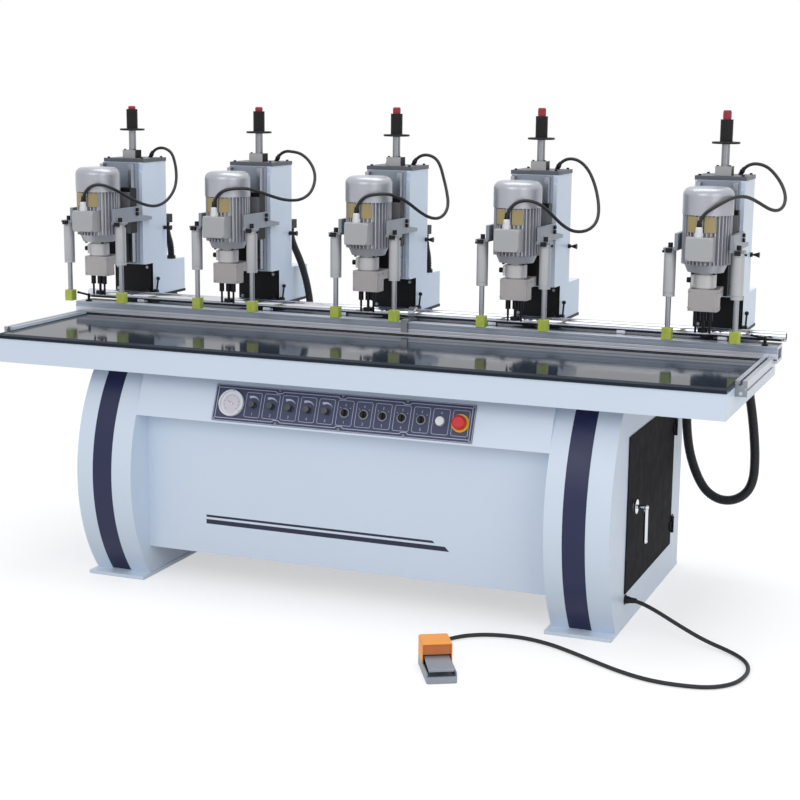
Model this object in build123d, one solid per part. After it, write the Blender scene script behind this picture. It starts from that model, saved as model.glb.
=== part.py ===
from build123d import *
import math
import os

# Five-head hinge boring machine. Lengths in mm. X runs along the table, Y from the table's front edge
# to the rear, Z up from the floor.

# Table
TABLE_LENGTH = 2600.0
TABLE_HEIGHT = 850.0
TOP_THICK = 10.0
TOP_GAP = 0.3
FRAME_INSET = 4.0
FRAME_REAR = 902.0
FRAME_HEIGHT = 84.0
SHEET = 4.0
CROSS_RIBS = 10
LONG_RIBS = 3
SIDE_RAIL_WIDTH = 38.0
SIDE_RAIL_HEIGHT = 50.0
SIDE_RAIL_PROUD = 11.0
SIDE_RAIL_FRONT = 130.0
SIDE_RAIL_REAR = 618.0

# Pedestals
PEDESTAL_WIDTH = 215.0
PEDESTAL_OUTER = 960.0
PEDESTAL_REAR = 1020.0
ARC_RADIUS = 590.0
ARC_FRONT = -5.0
ARC_HEIGHT = TABLE_HEIGHT - 480.0
FOOT_THICK = 12.0
FOOT_FRONT = 58.0
FOOT_LIP = 6.0

# Cabinet door
DOOR_FRONT = 207.0
DOOR_REAR = 873.0
DOOR_BOTTOM = 116.0
DOOR_TOP = TABLE_HEIGHT - 211.0
DOOR_THICK = 3.0
DOOR_GAP = 0.5
DOOR_OVERLAP = 15.0
DOOR_CORNER = 6.0
HINGE_LEVELS = (187.0, TABLE_HEIGHT - 305.0)
HINGE_LENGTH = 60.0
HINGE_RADIUS = 6.0
HINGE_PIN = 3.0
HINGE_OFFSET = 9.0
HINGE_LEAF = 30.0
HANDLE_Y = 302.0
HANDLE_Z = TABLE_HEIGHT - 460.0
HANDLE_ROSE = 24.0
HANDLE_REACH = 38.0
HANDLE_LENGTH = 115.0

# Front body
PANEL_FRONT = 120.0
PANEL_BOTTOM = 110.0
PANEL_SHEET = 3.0
CONSOLE_BOTTOM = TABLE_HEIGHT - 250.0
CONSOLE_FRONT = 42.0
CONSOLE_TOP_Y = 105.0
RETURN_FLANGE = 60.0

# Control panel, on the console face; distances up the slope start at its lower edge
CONTROL_WIDTH = 938.0
CONTROL_CENTRE = 17.0
CONTROL_LOW = 7.0
CONTROL_HIGH = 134.0
CONTROL_THICK = 3.0
CONTROL_ROW = 70.0
CONTROL_PITCH = 67.6
FIRST_CONTROL = -304.6
GAUGE_X = -384.0
GAUGE_RADIUS = 45.5
GAUGE_RIM = 5.5
GAUGE_DEPTH = 12.0
GAUGE_BODY = 30.0
STEM_RADIUS = 5.0
BUTTON_STEM = 11.0
BUTTON_RADIUS = 15.0
STOP_HEAD = 24.0
SELECTOR_RADIUS = 11.5
PANEL_HOLE = 12.0
CONTROL_LIFT = 0.4
RUN_FIT = 0.05

# Rear beam
BEAM_LEFT = -TABLE_LENGTH / 2
BEAM_RIGHT = TABLE_LENGTH / 2 - 60.0
BEAM_DEPTH = 178.0
BEAM_TOP = TABLE_HEIGHT + 12.0
BEAM_WALL = 6.0
TRACK_LINES = (930.0, 1045.0)
TRACK_WIDTH = 20.0
TRACK_HEIGHT = 16.0
REAR_PANEL_Y = 988.0
REAR_PANEL_BOTTOM = 300.0

# Fence
FENCE_FRONT = 620.0
FENCE_DEPTH = 100.0
FENCE_HEIGHT = 46.0
FENCE_HALF = TABLE_LENGTH / 2 + 48.0
RAIL_RADIUS = 17.0
RAIL_WALL = 3.0
RAIL_Y = 702.0
RAIL_LIFT = 24.0
RAIL_OVERHANG = 14.0
RAIL_SETBACK = 14.0
SADDLES = (-1100.0, -560.0, -250.0, 330.0, 800.0, 1150.0)
SADDLE_LENGTH = 30.0
STOP_LEFT = 49.0 - FENCE_HALF
STOP_MIDDLE = 25.0
STOP_RIGHT = FENCE_HALF - 45.0
SHOE_FRONT = 626.0
SHOE_SIDE = 20.0
SHOE_THICK = 5.0
SHOE_GAP = 0.3
LEVER_RISE = 24.0
LEVER_REACH = 44.0
STOP_WIDTH = 18.0
STOP_WALL = 6.4
STOP_FIT = 0.06

# Boring heads
HEAD_SHARES = (-0.47, -0.257692, -0.041538, 0.171538, 0.423846)
HEAD_PLACES = [round(TABLE_LENGTH * share, 1) for share in HEAD_SHARES]
AXIS_Y = 598.0
PLATE_UNDER = TABLE_HEIGHT + 44.0
PLATE_THICK = 10.0
PLATE_HALF = 88.0
COLUMN_HALF = 86.0
BASE_FRONT = 850.0
BASE_REAR = 1105.0
BASE_TOP = TABLE_HEIGHT + 181.0
COLUMN_FRONT = 787.0
COLUMN_REAR = 963.0
COLUMN_TOP = TABLE_HEIGHT + 577.0
COLUMN_WALL = 6.0
TOP_PLATE_THICK = 14.0
TRACK_CLEAR = 0.3
BLOCK_UNDER = TABLE_HEIGHT + 16.0
BLOCK_INNER = 24.0
BLOCK_OUTER = 70.0
BLOCK_WIDTH = 48.0
FACE_PLATE_THICK = 10.0
FACE_PLATE_TOP = TABLE_HEIGHT + 544.0
RAIL_PLATE_HALF = 72.0
RAIL_PLATE_THICK = 25.0
GUIDE_LOW = TABLE_HEIGHT + 190.0
GUIDE_HIGH = TABLE_HEIGHT + 577.0
GUIDE_X = 62.0
GUIDE_WIDTH = 14.0
GUIDE_DEPTH = 26.0
SLOT_HALF = 14.0
SLOT_LOW = TABLE_HEIGHT + 258.0
SLOT_HIGH = TABLE_HEIGHT + 372.0
FEED_TRAVEL = 70.0

# Depth rod and feed cylinder
ROD_Y = 858.0
ROD_RADIUS = 14.0
ROD_LOW = TABLE_HEIGHT + 360.0
BARREL_RADIUS = 30.0
BARREL_BORE = 20.0
BARREL_LOW = TABLE_HEIGHT + 390.0
BARREL_END = 12.0
PISTON_LOW = TABLE_HEIGHT + 490.0
PISTON_LENGTH = 16.0
GUIDE_BLOCK_HALF = 28.0
GUIDE_BLOCK_FRONT = 29.0
GUIDE_BLOCK_REAR = 18.0
GUIDE_BLOCK_HEIGHT = 31.0
DISC_UNDER = TABLE_HEIGHT + 697.0
DISC_THICK = 7.0
DISC_RADIUS = 48.0
KNOB_RADIUS = 21.5
KNOB_HEIGHT = 75.0
CAP_RADIUS = 13.5
CAP_HEIGHTS = (12.0, 16.0, 23.0, 29.0, 31.0)

# Feed slide
SLIDE_FRONT = 690.0
SLIDE_THICK = 30.0
SLIDE_HALF = 84.0
SLIDE_LOW = TABLE_HEIGHT + 196.0
SLIDE_HIGH = TABLE_HEIGHT + 484.0
TONGUE_HALF = 58.0
CARRIER_HALF = 17.0
CARRIER_LENGTH = 75.0
CARRIER_PLACES = (TABLE_HEIGHT + 310.0, TABLE_HEIGHT + 405.0)
CARRIER_DEPTH = 26.0
ARM_HALF = 10.0
ARM_HEIGHT = 20.0

# Motor and gearbox
GEARBOX_HALF = 49.0
GEARBOX_FRONT = 567.0
GEARBOX_REAR = 627.0
GEARBOX_LOW = TABLE_HEIGHT + 156.0
GEARBOX_HEIGHT = 73.0
GEARBOX_WALL = 8.0
GEARBOX_FLOOR = 12.0
GEARBOX_CORNER = 6.0
NECK_RADIUS = 32.0
NECK_HEIGHT = 5.0
RING_RADIUS = 38.0
RING_BORE = 24.0
RING_HEIGHT = 44.0
RING_LUG = 6.0
ARM_WIDTH = 90.0
ARM_DROP = 33.0
SPIGOT_RADIUS = 30.0
SPIGOT_HEIGHT = 8.0
FLANGE_RADIUS = 71.5
FLANGE_LOWER = 60.0
FLANGE_HEIGHT = 27.0
MOTOR_CORE = 66.0
MOTOR_RADIUS = 81.0
MOTOR_HEIGHT = 162.0
MOTOR_FINS = 36
FIN_THICK = 3.4
COWL_RADIUS = 83.5
COWL_HEIGHT = 90.0
COWL_ROUND = 26.0
BOX_WIDTH = 90.0
BOX_CENTRE = -3.0
BOX_FRONT = 488.0
BOX_LOW = TABLE_HEIGHT + 328.5
BOX_HEIGHT = 78.0
BOX_CORNER = 10.0
BOX_LID = 4.0
GLAND_RADIUS = 9.0

# Spindles
GEAR_TEETH = 17
GEAR_MODULE = 1.5
GEAR_ADDENDUM = 1.1
GEAR_DEDENDUM = 1.6
GEAR_THIN = 0.3
GEAR_SLOPE = 0.36
GEAR_LOW = TABLE_HEIGHT + 182.0
GEAR_WIDTH = 18.0
SIDE_ANGLE = 19.76
SHAFT_RADIUS = 7.0
SHAFT_LOW = TABLE_HEIGHT + 136.0
SIDE_SHAFT_TOP = TABLE_HEIGHT + 222.0
CENTRE_SHAFT_TOP = TABLE_HEIGHT + 276.0
HUB_RADIUS = 18.0
HUB_LOW = TABLE_HEIGHT + 240.0
HUB_HEIGHT = 32.0
CHUCK_LENGTH = 32.5
CHUCK_GAP = 0.5
CENTRE_CHUCK = 10.5
SIDE_CHUCK = 9.0
BIT_TIP = TABLE_HEIGHT + 79.0
CUP_RADIUS = 17.5
CUP_HEIGHT = 13.0
SHANK_RADIUS = 5.0
SHANK_TOP = TABLE_HEIGHT + 133.0
DRILL_RADIUS = 4.0
POINT_LENGTH = 4.0

# Clamps
CLAMP_X = 113.0
CLAMP_Y = 566.0
CYLINDER_LOW = TABLE_HEIGHT + 202.0
CYLINDER_HEIGHT = 154.0
CYLINDER_RADIUS = 20.0
CYLINDER_GROOVE = 1.0
CYLINDER_BORE = 16.0
CYLINDER_END = 12.0
CLAMP_ROD = 9.0
CLAMP_PISTON_LOW = TABLE_HEIGHT + 300.0
CLAMP_PISTON = 16.0
FOOT_LOW = TABLE_HEIGHT + 56.0
FOOT_SIDE = 34.0
FOOT_HEIGHT = 41.0
BRACKET_THICK = 12.0
BRACKET_HEIGHT = 56.0
BRACKET_BEND = 738.0
BRACKET_REAR = 828.0
BRACKET_TAIL = 24.0
BRACKET_TAIL_END = 12.0
HANGER_THICK = 8.0
HANGER_LIP = 1.0
NUT_RADIUS = 8.0
NUT_HEIGHT = 16.0
STUB_RADIUS = 4.0
STUB_REACH = 140.0

# Foot pedal, turned on the floor
PEDAL_X = 593.0
PEDAL_Y = -495.0
PEDAL_TURN = 29.0
PEDAL_WIDTH = 92.0
PEDAL_LENGTH = 190.0
PEDAL_FLOOR = 8.0
PEDAL_WALL = 4.0
PEDAL_SIDE = 30.0
PEDAL_LIP = 20.0
HOOD_FRONT = 100.0
HOOD_TOP = 92.0
HOOD_WALL = 3.0
TREADLE_HALF = 38.0
TREADLE_FRONT = 10.0
TREADLE_THICK = 6.0
TREADLE_SLOPE = 5.5
PIVOT_Y = 158.0
PIVOT_Z = 50.0
PIVOT_RADIUS = 4.0
PIVOT_BOSS = 7.0

# Lines
MOTOR_CABLE = 5.7
NIPPLE_RADIUS = 8.0
PEDAL_CABLE = 6.5
LOOP_RADIUS = 17.0
CONDUIT_RADIUS = 14.0
LONG_CONDUIT = 2
SHORT_CONDUITS = (1, 3)
RIB_DEPTH = 2.2
RIB_PITCH = 8.0
GLAND_Z = 95.0
GLAND_Y = 225.0

# Places that follow from the sizes above
TOP_UNDER = TABLE_HEIGHT - TOP_THICK
FRAME_UNDER = TOP_UNDER - FRAME_HEIGHT
TABLE_HALF = TABLE_LENGTH / 2
TOP_DEPTH = FENCE_FRONT - TOP_GAP
PEDESTAL_INNER = PEDESTAL_OUTER - PEDESTAL_WIDTH
BASE_UNDER = PLATE_UNDER + PLATE_THICK
PLATE_REAR = BASE_REAR + 2.0
PLAN_CENTRE = (ARC_FRONT + PLATE_REAR) / 2
FENCE_TOP = TABLE_HEIGHT + FENCE_HEIGHT
FENCE_REAR = FENCE_FRONT + FENCE_DEPTH
RAIL_Z = FENCE_TOP + RAIL_LIFT
RAIL_LEFT = RAIL_SETBACK - FENCE_HALF
RAIL_RIGHT = FENCE_HALF + RAIL_OVERHANG
GEARBOX_TOP = GEARBOX_LOW + GEARBOX_HEIGHT
RING_LOW = GEARBOX_TOP + NECK_HEIGHT
RING_TOP = RING_LOW + RING_HEIGHT
FLANGE_LOW = RING_TOP + SPIGOT_HEIGHT
MOTOR_LOW = FLANGE_LOW + FLANGE_HEIGHT
MOTOR_TOP = MOTOR_LOW + MOTOR_HEIGHT
SLIDE_REAR = SLIDE_FRONT + SLIDE_THICK
FACE_PLATE_FRONT = COLUMN_FRONT - FACE_PLATE_THICK
RAIL_PLATE_FRONT = FACE_PLATE_FRONT - RAIL_PLATE_THICK
GUIDE_FRONT = RAIL_PLATE_FRONT - GUIDE_DEPTH
TOP_PLATE = COLUMN_TOP + TOP_PLATE_THICK
CYLINDER_TOP = CYLINDER_LOW + CYLINDER_HEIGHT
GEAR_PITCH = GEAR_MODULE * GEAR_TEETH / 2
SIDE_X = 2 * GEAR_PITCH * math.cos(math.radians(SIDE_ANGLE))
SIDE_Y = AXIS_Y - 2 * GEAR_PITCH * math.sin(math.radians(SIDE_ANGLE))
HINGE_X = PEDESTAL_OUTER + DOOR_GAP + HINGE_RADIUS
HINGE_Y = DOOR_REAR + HINGE_OFFSET
DOOR_INNER = PEDESTAL_OUTER + DOOR_GAP
DOOR_OUTER = DOOR_INNER + DOOR_THICK


def span(x0, x1, y0, y1, z0, z1):
    """Box between two opposite corners."""
    centre = Pos((x0 + x1) / 2, (y0 + y1) / 2, (z0 + z1) / 2)
    return centre * Box(x1 - x0, y1 - y0, z1 - z0)


def post(x, y, z0, z1, radius):
    """Upright round bar."""
    return Pos(x, y, (z0 + z1) / 2) * Cylinder(radius, z1 - z0)


def bar_x(x0, x1, y, z, radius):
    """Round bar along X."""
    return Pos((x0 + x1) / 2, y, z) * Rot(0, 90, 0) * Cylinder(radius, x1 - x0)


def bar_y(x, y0, y1, z, radius):
    """Round bar along Y."""
    return Pos(x, (y0 + y1) / 2, z) * Rot(90, 0, 0) * Cylinder(radius, y1 - y0)


def rounded_post(x, y, width, depth, z0, z1, corner):
    """Upright block with rounded vertical edges."""
    outline = Pos(x, y, z0) * RectangleRounded(width, depth, corner)
    return extrude(outline, amount=z1 - z0, dir=(0, 0, 1))


def side_prism(outline, x0, x1):
    """Side view, drawn as a face in (Y, Z), carried along X."""
    return extrude(Plane.YZ.offset(x0) * outline, amount=x1 - x0, dir=(1, 0, 0))


def polygon(points):
    """Face inside a closed row of points."""
    return make_face(Polyline(*points, close=True))


def rod_between(start, end, radius):
    """Round bar between two points."""
    path = Line(start, end)
    section = Plane(origin=start, z_dir=path % 0) * Circle(radius)
    return sweep(section, path)


def table_frame():
    """Apron box with a deck and welded ribs under it, and the slotted rails on both ends."""
    front = FRAME_INSET
    width = TABLE_LENGTH
    depth = FRAME_REAR - front
    frame = span(-TABLE_HALF, TABLE_HALF, front, FRAME_REAR, FRAME_UNDER, TOP_UNDER)
    frame -= span(
        -TABLE_HALF + SHEET, TABLE_HALF - SHEET, front + SHEET, FRAME_REAR - SHEET,
        FRAME_UNDER, TOP_UNDER - SHEET,
    )
    for i in range(1, CROSS_RIBS + 1):
        x = -TABLE_HALF + width * i / (CROSS_RIBS + 1)
        frame += span(x - SHEET / 2, x + SHEET / 2, front, FRAME_REAR, FRAME_UNDER, TOP_UNDER)
    for i in range(1, LONG_RIBS + 1):
        y = front + depth * i / (LONG_RIBS + 1)
        frame += span(-TABLE_HALF, TABLE_HALF, y - SHEET / 2, y + SHEET / 2, FRAME_UNDER, TOP_UNDER)
    pieces = [frame]
    top = TABLE_HEIGHT + SIDE_RAIL_PROUD
    low = top - SIDE_RAIL_HEIGHT
    middle = TABLE_HALF + SIDE_RAIL_WIDTH / 2
    for side in (-1, 1):
        rail = span(
            middle - SIDE_RAIL_WIDTH / 2, middle + SIDE_RAIL_WIDTH / 2,
            SIDE_RAIL_FRONT, SIDE_RAIL_REAR, low, top,
        )
        rail -= span(middle - 4, middle + 4, SIDE_RAIL_FRONT, SIDE_RAIL_REAR, top - 9, top)
        rail -= span(middle - 9, middle + 9, SIDE_RAIL_FRONT, SIDE_RAIL_REAR, top - 16, top - 9)
        rail -= span(
            middle + SIDE_RAIL_WIDTH / 2 - 6, middle + SIDE_RAIL_WIDTH / 2,
            SIDE_RAIL_FRONT, SIDE_RAIL_REAR, low + 18, low + 26,
        )
        bolt = bar_y(middle, SIDE_RAIL_FRONT - 5, SIDE_RAIL_FRONT, low + 11, 6)
        for piece in (rail, bolt):
            pieces.append(piece if side > 0 else mirror(piece, about=Plane.YZ))
    return pieces


def table_top():
    """Dark polished plate that the work lies on."""
    return [span(-TABLE_HALF, TABLE_HALF, 0, TOP_DEPTH, TOP_UNDER, TABLE_HEIGHT)]


def pedestal_outline(inset):
    """Side view of a pedestal with its bulging front, smaller by an inset except at the bottom."""
    radius = ARC_RADIUS - inset
    centre = ARC_FRONT + ARC_RADIUS
    top = FRAME_UNDER - inset
    rear = PEDESTAL_REAR - inset
    low_y = centre - math.sqrt(radius**2 - (FOOT_THICK - ARC_HEIGHT) ** 2)
    high_y = centre - math.sqrt(radius**2 - (top - ARC_HEIGHT) ** 2)
    front = ThreePointArc((low_y, FOOT_THICK), (centre - radius, ARC_HEIGHT), (high_y, top))
    rest = Polyline((high_y, top), (rear, top), (rear, FOOT_THICK), (low_y, FOOT_THICK))
    return make_face([front, rest])


def pedestal():
    """Right pedestal: curved shell on a foot plate, before its door is cut."""
    shell = side_prism(pedestal_outline(0), PEDESTAL_INNER, PEDESTAL_OUTER)
    shell -= side_prism(pedestal_outline(SHEET), PEDESTAL_INNER + SHEET, PEDESTAL_OUTER - SHEET)
    foot = span(
        PEDESTAL_INNER - FOOT_LIP, PEDESTAL_OUTER, FOOT_FRONT, PEDESTAL_REAR + FOOT_LIP, 0, FOOT_THICK
    )
    return shell, foot


def left_pedestal():
    """Mirror image of the right pedestal, without a door."""
    return [mirror(piece, about=Plane.YZ) for piece in pedestal()]


def right_pedestal():
    """Cabinet pedestal with its door opening, the fixed hinge halves and the cable gland's hole."""
    shell, foot = pedestal()
    shell -= span(
        PEDESTAL_OUTER - 2 * SHEET, PEDESTAL_OUTER + SHEET,
        DOOR_FRONT + DOOR_OVERLAP, DOOR_REAR - DOOR_OVERLAP,
        DOOR_BOTTOM + DOOR_OVERLAP, DOOR_TOP - DOOR_OVERLAP,
    )
    shell -= bar_x(PEDESTAL_OUTER - 2 * SHEET, PEDESTAL_OUTER + SHEET, GLAND_Y, GLAND_Z, PEDAL_CABLE)
    pieces = [shell, foot]
    knuckle = HINGE_LENGTH / 4
    for z in HINGE_LEVELS:
        low = z - HINGE_LENGTH / 2
        high = z + HINGE_LENGTH / 2
        face = PEDESTAL_OUTER + 3
        far = HINGE_Y + HINGE_LEAF
        leaf = span(PEDESTAL_OUTER, face, HINGE_Y + HINGE_RADIUS, far, low, high)
        leaf += span(PEDESTAL_OUTER, face, HINGE_Y, far, low, low + knuckle)
        leaf += span(PEDESTAL_OUTER, face, HINGE_Y, far, high - knuckle, high)
        leaf += post(HINGE_X, HINGE_Y, low, low + knuckle, HINGE_RADIUS)
        leaf += post(HINGE_X, HINGE_Y, high - knuckle, high, HINGE_RADIUS)
        leaf += post(HINGE_X, HINGE_Y, low, high, HINGE_PIN)
        pieces.append(leaf)
    return pieces


def cabinet_door():
    """Black door with the moving hinge halves and the rose of its handle."""
    width = DOOR_REAR - DOOR_FRONT
    height = DOOR_TOP - DOOR_BOTTOM
    centre = ((DOOR_FRONT + DOOR_REAR) / 2, (DOOR_BOTTOM + DOOR_TOP) / 2)
    outline = Pos(*centre) * RectangleRounded(width, height, DOOR_CORNER)
    door = side_prism(outline, DOOR_INNER, DOOR_OUTER)
    knuckle = HINGE_LENGTH / 4
    for z in HINGE_LEVELS:
        low = z - HINGE_LENGTH / 2 + knuckle + 0.3
        high = z + HINGE_LENGTH / 2 - knuckle - 0.3
        leaf = span(DOOR_OUTER, DOOR_OUTER + 3, DOOR_REAR - HINGE_LEAF, HINGE_Y, low, high)
        leaf += post(HINGE_X, HINGE_Y, low, high, HINGE_RADIUS - 0.2)
        leaf -= post(HINGE_X, HINGE_Y, low, high, HINGE_PIN + RUN_FIT)
        door += leaf
    rose = bar_x(DOOR_OUTER, DOOR_OUTER + 8, HANDLE_Y, HANDLE_Z, HANDLE_ROSE)
    rose -= bar_x(DOOR_OUTER, DOOR_OUTER + 8, HANDLE_Y, HANDLE_Z, 7 + RUN_FIT)
    return [door, rose]


def door_handle():
    """Lever handle: stem in the rose and a grip that hangs down."""
    reach = DOOR_OUTER + HANDLE_REACH
    top = (reach, HANDLE_Y, HANDLE_Z)
    low = (reach, HANDLE_Y + 4, HANDLE_Z - HANDLE_LENGTH)
    handle = bar_x(DOOR_OUTER, reach, HANDLE_Y, HANDLE_Z, 7)
    handle += Pos(*top) * Sphere(9)
    handle += rod_between(top, low, 7)
    handle += Pos(*low) * Sphere(8)
    return [handle]


def console_plane():
    """Outer face of the console: x along the table, y up the slope, z outward."""
    slope = Vector(0, CONSOLE_TOP_Y - CONSOLE_FRONT, FRAME_UNDER - CONSOLE_BOTTOM).normalized()
    outward = Vector(1, 0, 0).cross(slope)
    return Plane(origin=(0, CONSOLE_FRONT, CONSOLE_BOTTOM), x_dir=(1, 0, 0), z_dir=outward)


def on_console(x, up, low, high, radius):
    """Round bar square to the console face."""
    return console_plane() * Pos(x, up, (low + high) / 2) * Cylinder(radius, high - low)


def control_places():
    """Positions along the row: five regulators, five selectors, the button and the stop."""
    return [FIRST_CONTROL + CONTROL_PITCH * i for i in range(12)]


def front_body():
    """Bent sheet between the pedestals: recessed panel, shelf and console face with closed ends."""
    lean = (CONSOLE_TOP_Y - CONSOLE_FRONT) / (FRAME_UNDER - CONSOLE_BOTTOM)
    thick = PANEL_SHEET * math.hypot(1, lean)
    back = PANEL_FRONT + PANEL_SHEET
    outline = polygon(
        [
            (CONSOLE_FRONT, CONSOLE_BOTTOM),
            (CONSOLE_TOP_Y, FRAME_UNDER),
            (CONSOLE_TOP_Y + RETURN_FLANGE, FRAME_UNDER),
            (CONSOLE_TOP_Y + RETURN_FLANGE, FRAME_UNDER - PANEL_SHEET),
            (CONSOLE_TOP_Y + thick - lean * PANEL_SHEET, FRAME_UNDER - PANEL_SHEET),
            (CONSOLE_FRONT + thick + lean * PANEL_SHEET, CONSOLE_BOTTOM + PANEL_SHEET),
            (back, CONSOLE_BOTTOM + PANEL_SHEET),
            (back, PANEL_BOTTOM + PANEL_SHEET),
            (PANEL_FRONT + RETURN_FLANGE, PANEL_BOTTOM + PANEL_SHEET),
            (PANEL_FRONT + RETURN_FLANGE, PANEL_BOTTOM),
            (PANEL_FRONT, PANEL_BOTTOM),
            (PANEL_FRONT, CONSOLE_BOTTOM),
        ]
    )
    body = side_prism(outline, -PEDESTAL_INNER, PEDESTAL_INNER)
    cheek = polygon(
        [
            (CONSOLE_FRONT, CONSOLE_BOTTOM),
            (CONSOLE_TOP_Y, FRAME_UNDER),
            (CONSOLE_TOP_Y + RETURN_FLANGE, FRAME_UNDER),
            (back, CONSOLE_BOTTOM),
        ]
    )
    body += side_prism(cheek, -PEDESTAL_INNER, -PEDESTAL_INNER + PANEL_SHEET)
    body += side_prism(cheek, PEDESTAL_INNER - PANEL_SHEET, PEDESTAL_INNER)
    for x in control_places():
        body -= on_console(x, CONTROL_ROW, -20, 1, PANEL_HOLE)
    body -= on_console(GAUGE_X, CONTROL_ROW, -20, 1, GAUGE_BODY + 1)
    return [body]


def control_panel():
    """Panel plate with the pressure gauge and the fixed rings of the selectors and buttons."""
    centre = Pos(CONTROL_CENTRE, (CONTROL_LOW + CONTROL_HIGH) / 2)
    outline = console_plane() * centre * RectangleRounded(CONTROL_WIDTH, CONTROL_HIGH - CONTROL_LOW, 4)
    plate = extrude(outline, amount=CONTROL_THICK)
    places = control_places()
    for x in places[:10]:
        plate -= on_console(x, CONTROL_ROW, -1, CONTROL_THICK + 1, STEM_RADIUS + RUN_FIT)
    for x in places[10:]:
        plate -= on_console(x, CONTROL_ROW, -1, CONTROL_THICK + 1, BUTTON_STEM + RUN_FIT)
    pieces = [plate]
    top = CONTROL_THICK
    for x in places[5:10]:
        ring = on_console(x, CONTROL_ROW, top, top + 5, SELECTOR_RADIUS + 5)
        ring -= on_console(x, CONTROL_ROW, top, top + 5, SELECTOR_RADIUS + 1)
        pieces.append(ring)
    ring = on_console(places[10], CONTROL_ROW, top, top + 4, BUTTON_RADIUS + 2)
    ring -= on_console(places[10], CONTROL_ROW, top, top + 4, BUTTON_STEM + RUN_FIT)
    pieces.append(ring)
    ring = on_console(places[11], CONTROL_ROW, top, top + 4, STOP_HEAD + 6)
    ring -= on_console(places[11], CONTROL_ROW, top, top + 4, BUTTON_STEM + RUN_FIT)
    pieces.append(ring)
    rim = on_console(GAUGE_X, CONTROL_ROW, top, top + GAUGE_DEPTH, GAUGE_RADIUS)
    rim -= on_console(GAUGE_X, CONTROL_ROW, top + 3, top + GAUGE_DEPTH, GAUGE_RADIUS - GAUGE_RIM)
    pieces.append(rim)
    pieces.append(on_console(GAUGE_X, CONTROL_ROW, -34, 0, GAUGE_BODY))
    return pieces


def regulator(x):
    """Fluted pressure regulator knob on its stem."""
    low = CONTROL_THICK + CONTROL_LIFT
    outline = Circle(11)
    for spot in PolarLocations(11.6, 14):
        outline -= spot * Circle(1.4)
    grip = extrude(console_plane() * Pos(x, CONTROL_ROW, low + 3) * outline, amount=15)
    knob = grip + on_console(x, CONTROL_ROW, low, low + 3, 13)
    return [knob + on_console(x, CONTROL_ROW, -10, low, STEM_RADIUS)]


def selector(x):
    """Selector switch: round knob with a bar grip."""
    low = CONTROL_THICK + CONTROL_LIFT
    knob = on_console(x, CONTROL_ROW, low, low + 10, SELECTOR_RADIUS)
    knob += console_plane() * Pos(x, CONTROL_ROW, low + 14) * Box(7, 2 * SELECTOR_RADIUS - 2, 10)
    return [knob + on_console(x, CONTROL_ROW, -10, low, STEM_RADIUS)]


def start_button(x):
    """Push button with a wide cap on its stem."""
    low = CONTROL_THICK + 9
    cap = on_console(x, CONTROL_ROW, low, low + 6, BUTTON_RADIUS)
    top = cap.faces().sort_by(Axis((0, 0, 0), console_plane().z_dir))[-1]
    cap = fillet(top.edges(), 2)
    return [cap + on_console(x, CONTROL_ROW, -9, low, BUTTON_STEM)]


def emergency_stop(x):
    """Mushroom head on a stem."""
    low = CONTROL_THICK + 11
    head = on_console(x, CONTROL_ROW, low, low + 17, STOP_HEAD)
    top = head.faces().sort_by(Axis((0, 0, 0), console_plane().z_dir))[-1]
    head = fillet(top.edges(), 9)
    return [head + on_console(x, CONTROL_ROW, -9, low, BUTTON_STEM)]


def rear_beam():
    """Box beam with two tracks on top, the sleeves of the long conduits and the rear panel."""
    rear = FRAME_REAR + BEAM_DEPTH
    beam = span(BEAM_LEFT, BEAM_RIGHT, FRAME_REAR, rear, FRAME_UNDER, BEAM_TOP)
    beam -= span(
        BEAM_LEFT, BEAM_RIGHT, FRAME_REAR + BEAM_WALL, rear - BEAM_WALL,
        FRAME_UNDER + BEAM_WALL, BEAM_TOP - BEAM_WALL,
    )
    pieces = [beam]
    for y in TRACK_LINES:
        half = TRACK_WIDTH / 2
        pieces.append(span(BEAM_LEFT, BEAM_RIGHT, y - half, y + half, BEAM_TOP, BEAM_TOP + TRACK_HEIGHT))
    foot = conduit_route()[-1]
    x = HEAD_PLACES[LONG_CONDUIT - 1] + foot[0]
    pieces.append(post(x, foot[1], BEAM_TOP, foot[2], CONDUIT_RADIUS + 4))
    for end in (loop_route()[0], loop_route()[-1]):
        pieces.append(post(end[0], end[1], end[2], FRAME_UNDER, LOOP_RADIUS + 4))
    panel = span(
        -PEDESTAL_INNER, PEDESTAL_INNER, REAR_PANEL_Y, REAR_PANEL_Y + PANEL_SHEET,
        REAR_PANEL_BOTTOM, FRAME_UNDER,
    )
    pieces.append(panel)
    return pieces


def fence():
    """Grooved extrusion with saddles that carry the round rail."""
    body = span(-FENCE_HALF, FENCE_HALF, FENCE_FRONT, FENCE_REAR, TOP_UNDER, FENCE_TOP)
    body -= span(
        -FENCE_HALF, FENCE_HALF, FENCE_FRONT + 16, FENCE_REAR - 16, TOP_UNDER + 11, FENCE_TOP - 11
    )
    for share in (0.28, 0.52, 0.8):
        z = TABLE_HEIGHT + share * FENCE_HEIGHT
        body -= span(-FENCE_HALF, FENCE_HALF, FENCE_FRONT, FENCE_FRONT + 3, z - 2, z + 2)
    rail = bar_x(RAIL_LEFT, RAIL_RIGHT, RAIL_Y, RAIL_Z, RAIL_RADIUS)
    core = bar_x(RAIL_LEFT, RAIL_RIGHT, RAIL_Y, RAIL_Z, RAIL_RADIUS - RAIL_WALL)
    pieces = [body, rail - core]
    for x in SADDLES:
        saddle = span(
            x - SADDLE_LENGTH / 2, x + SADDLE_LENGTH / 2, RAIL_Y - 12, RAIL_Y + 12, FENCE_TOP, RAIL_Z - 8
        )
        pieces.append(saddle - bar_x(x - SADDLE_LENGTH, x + SADDLE_LENGTH, RAIL_Y, RAIL_Z, RAIL_RADIUS))
    return pieces


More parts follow.
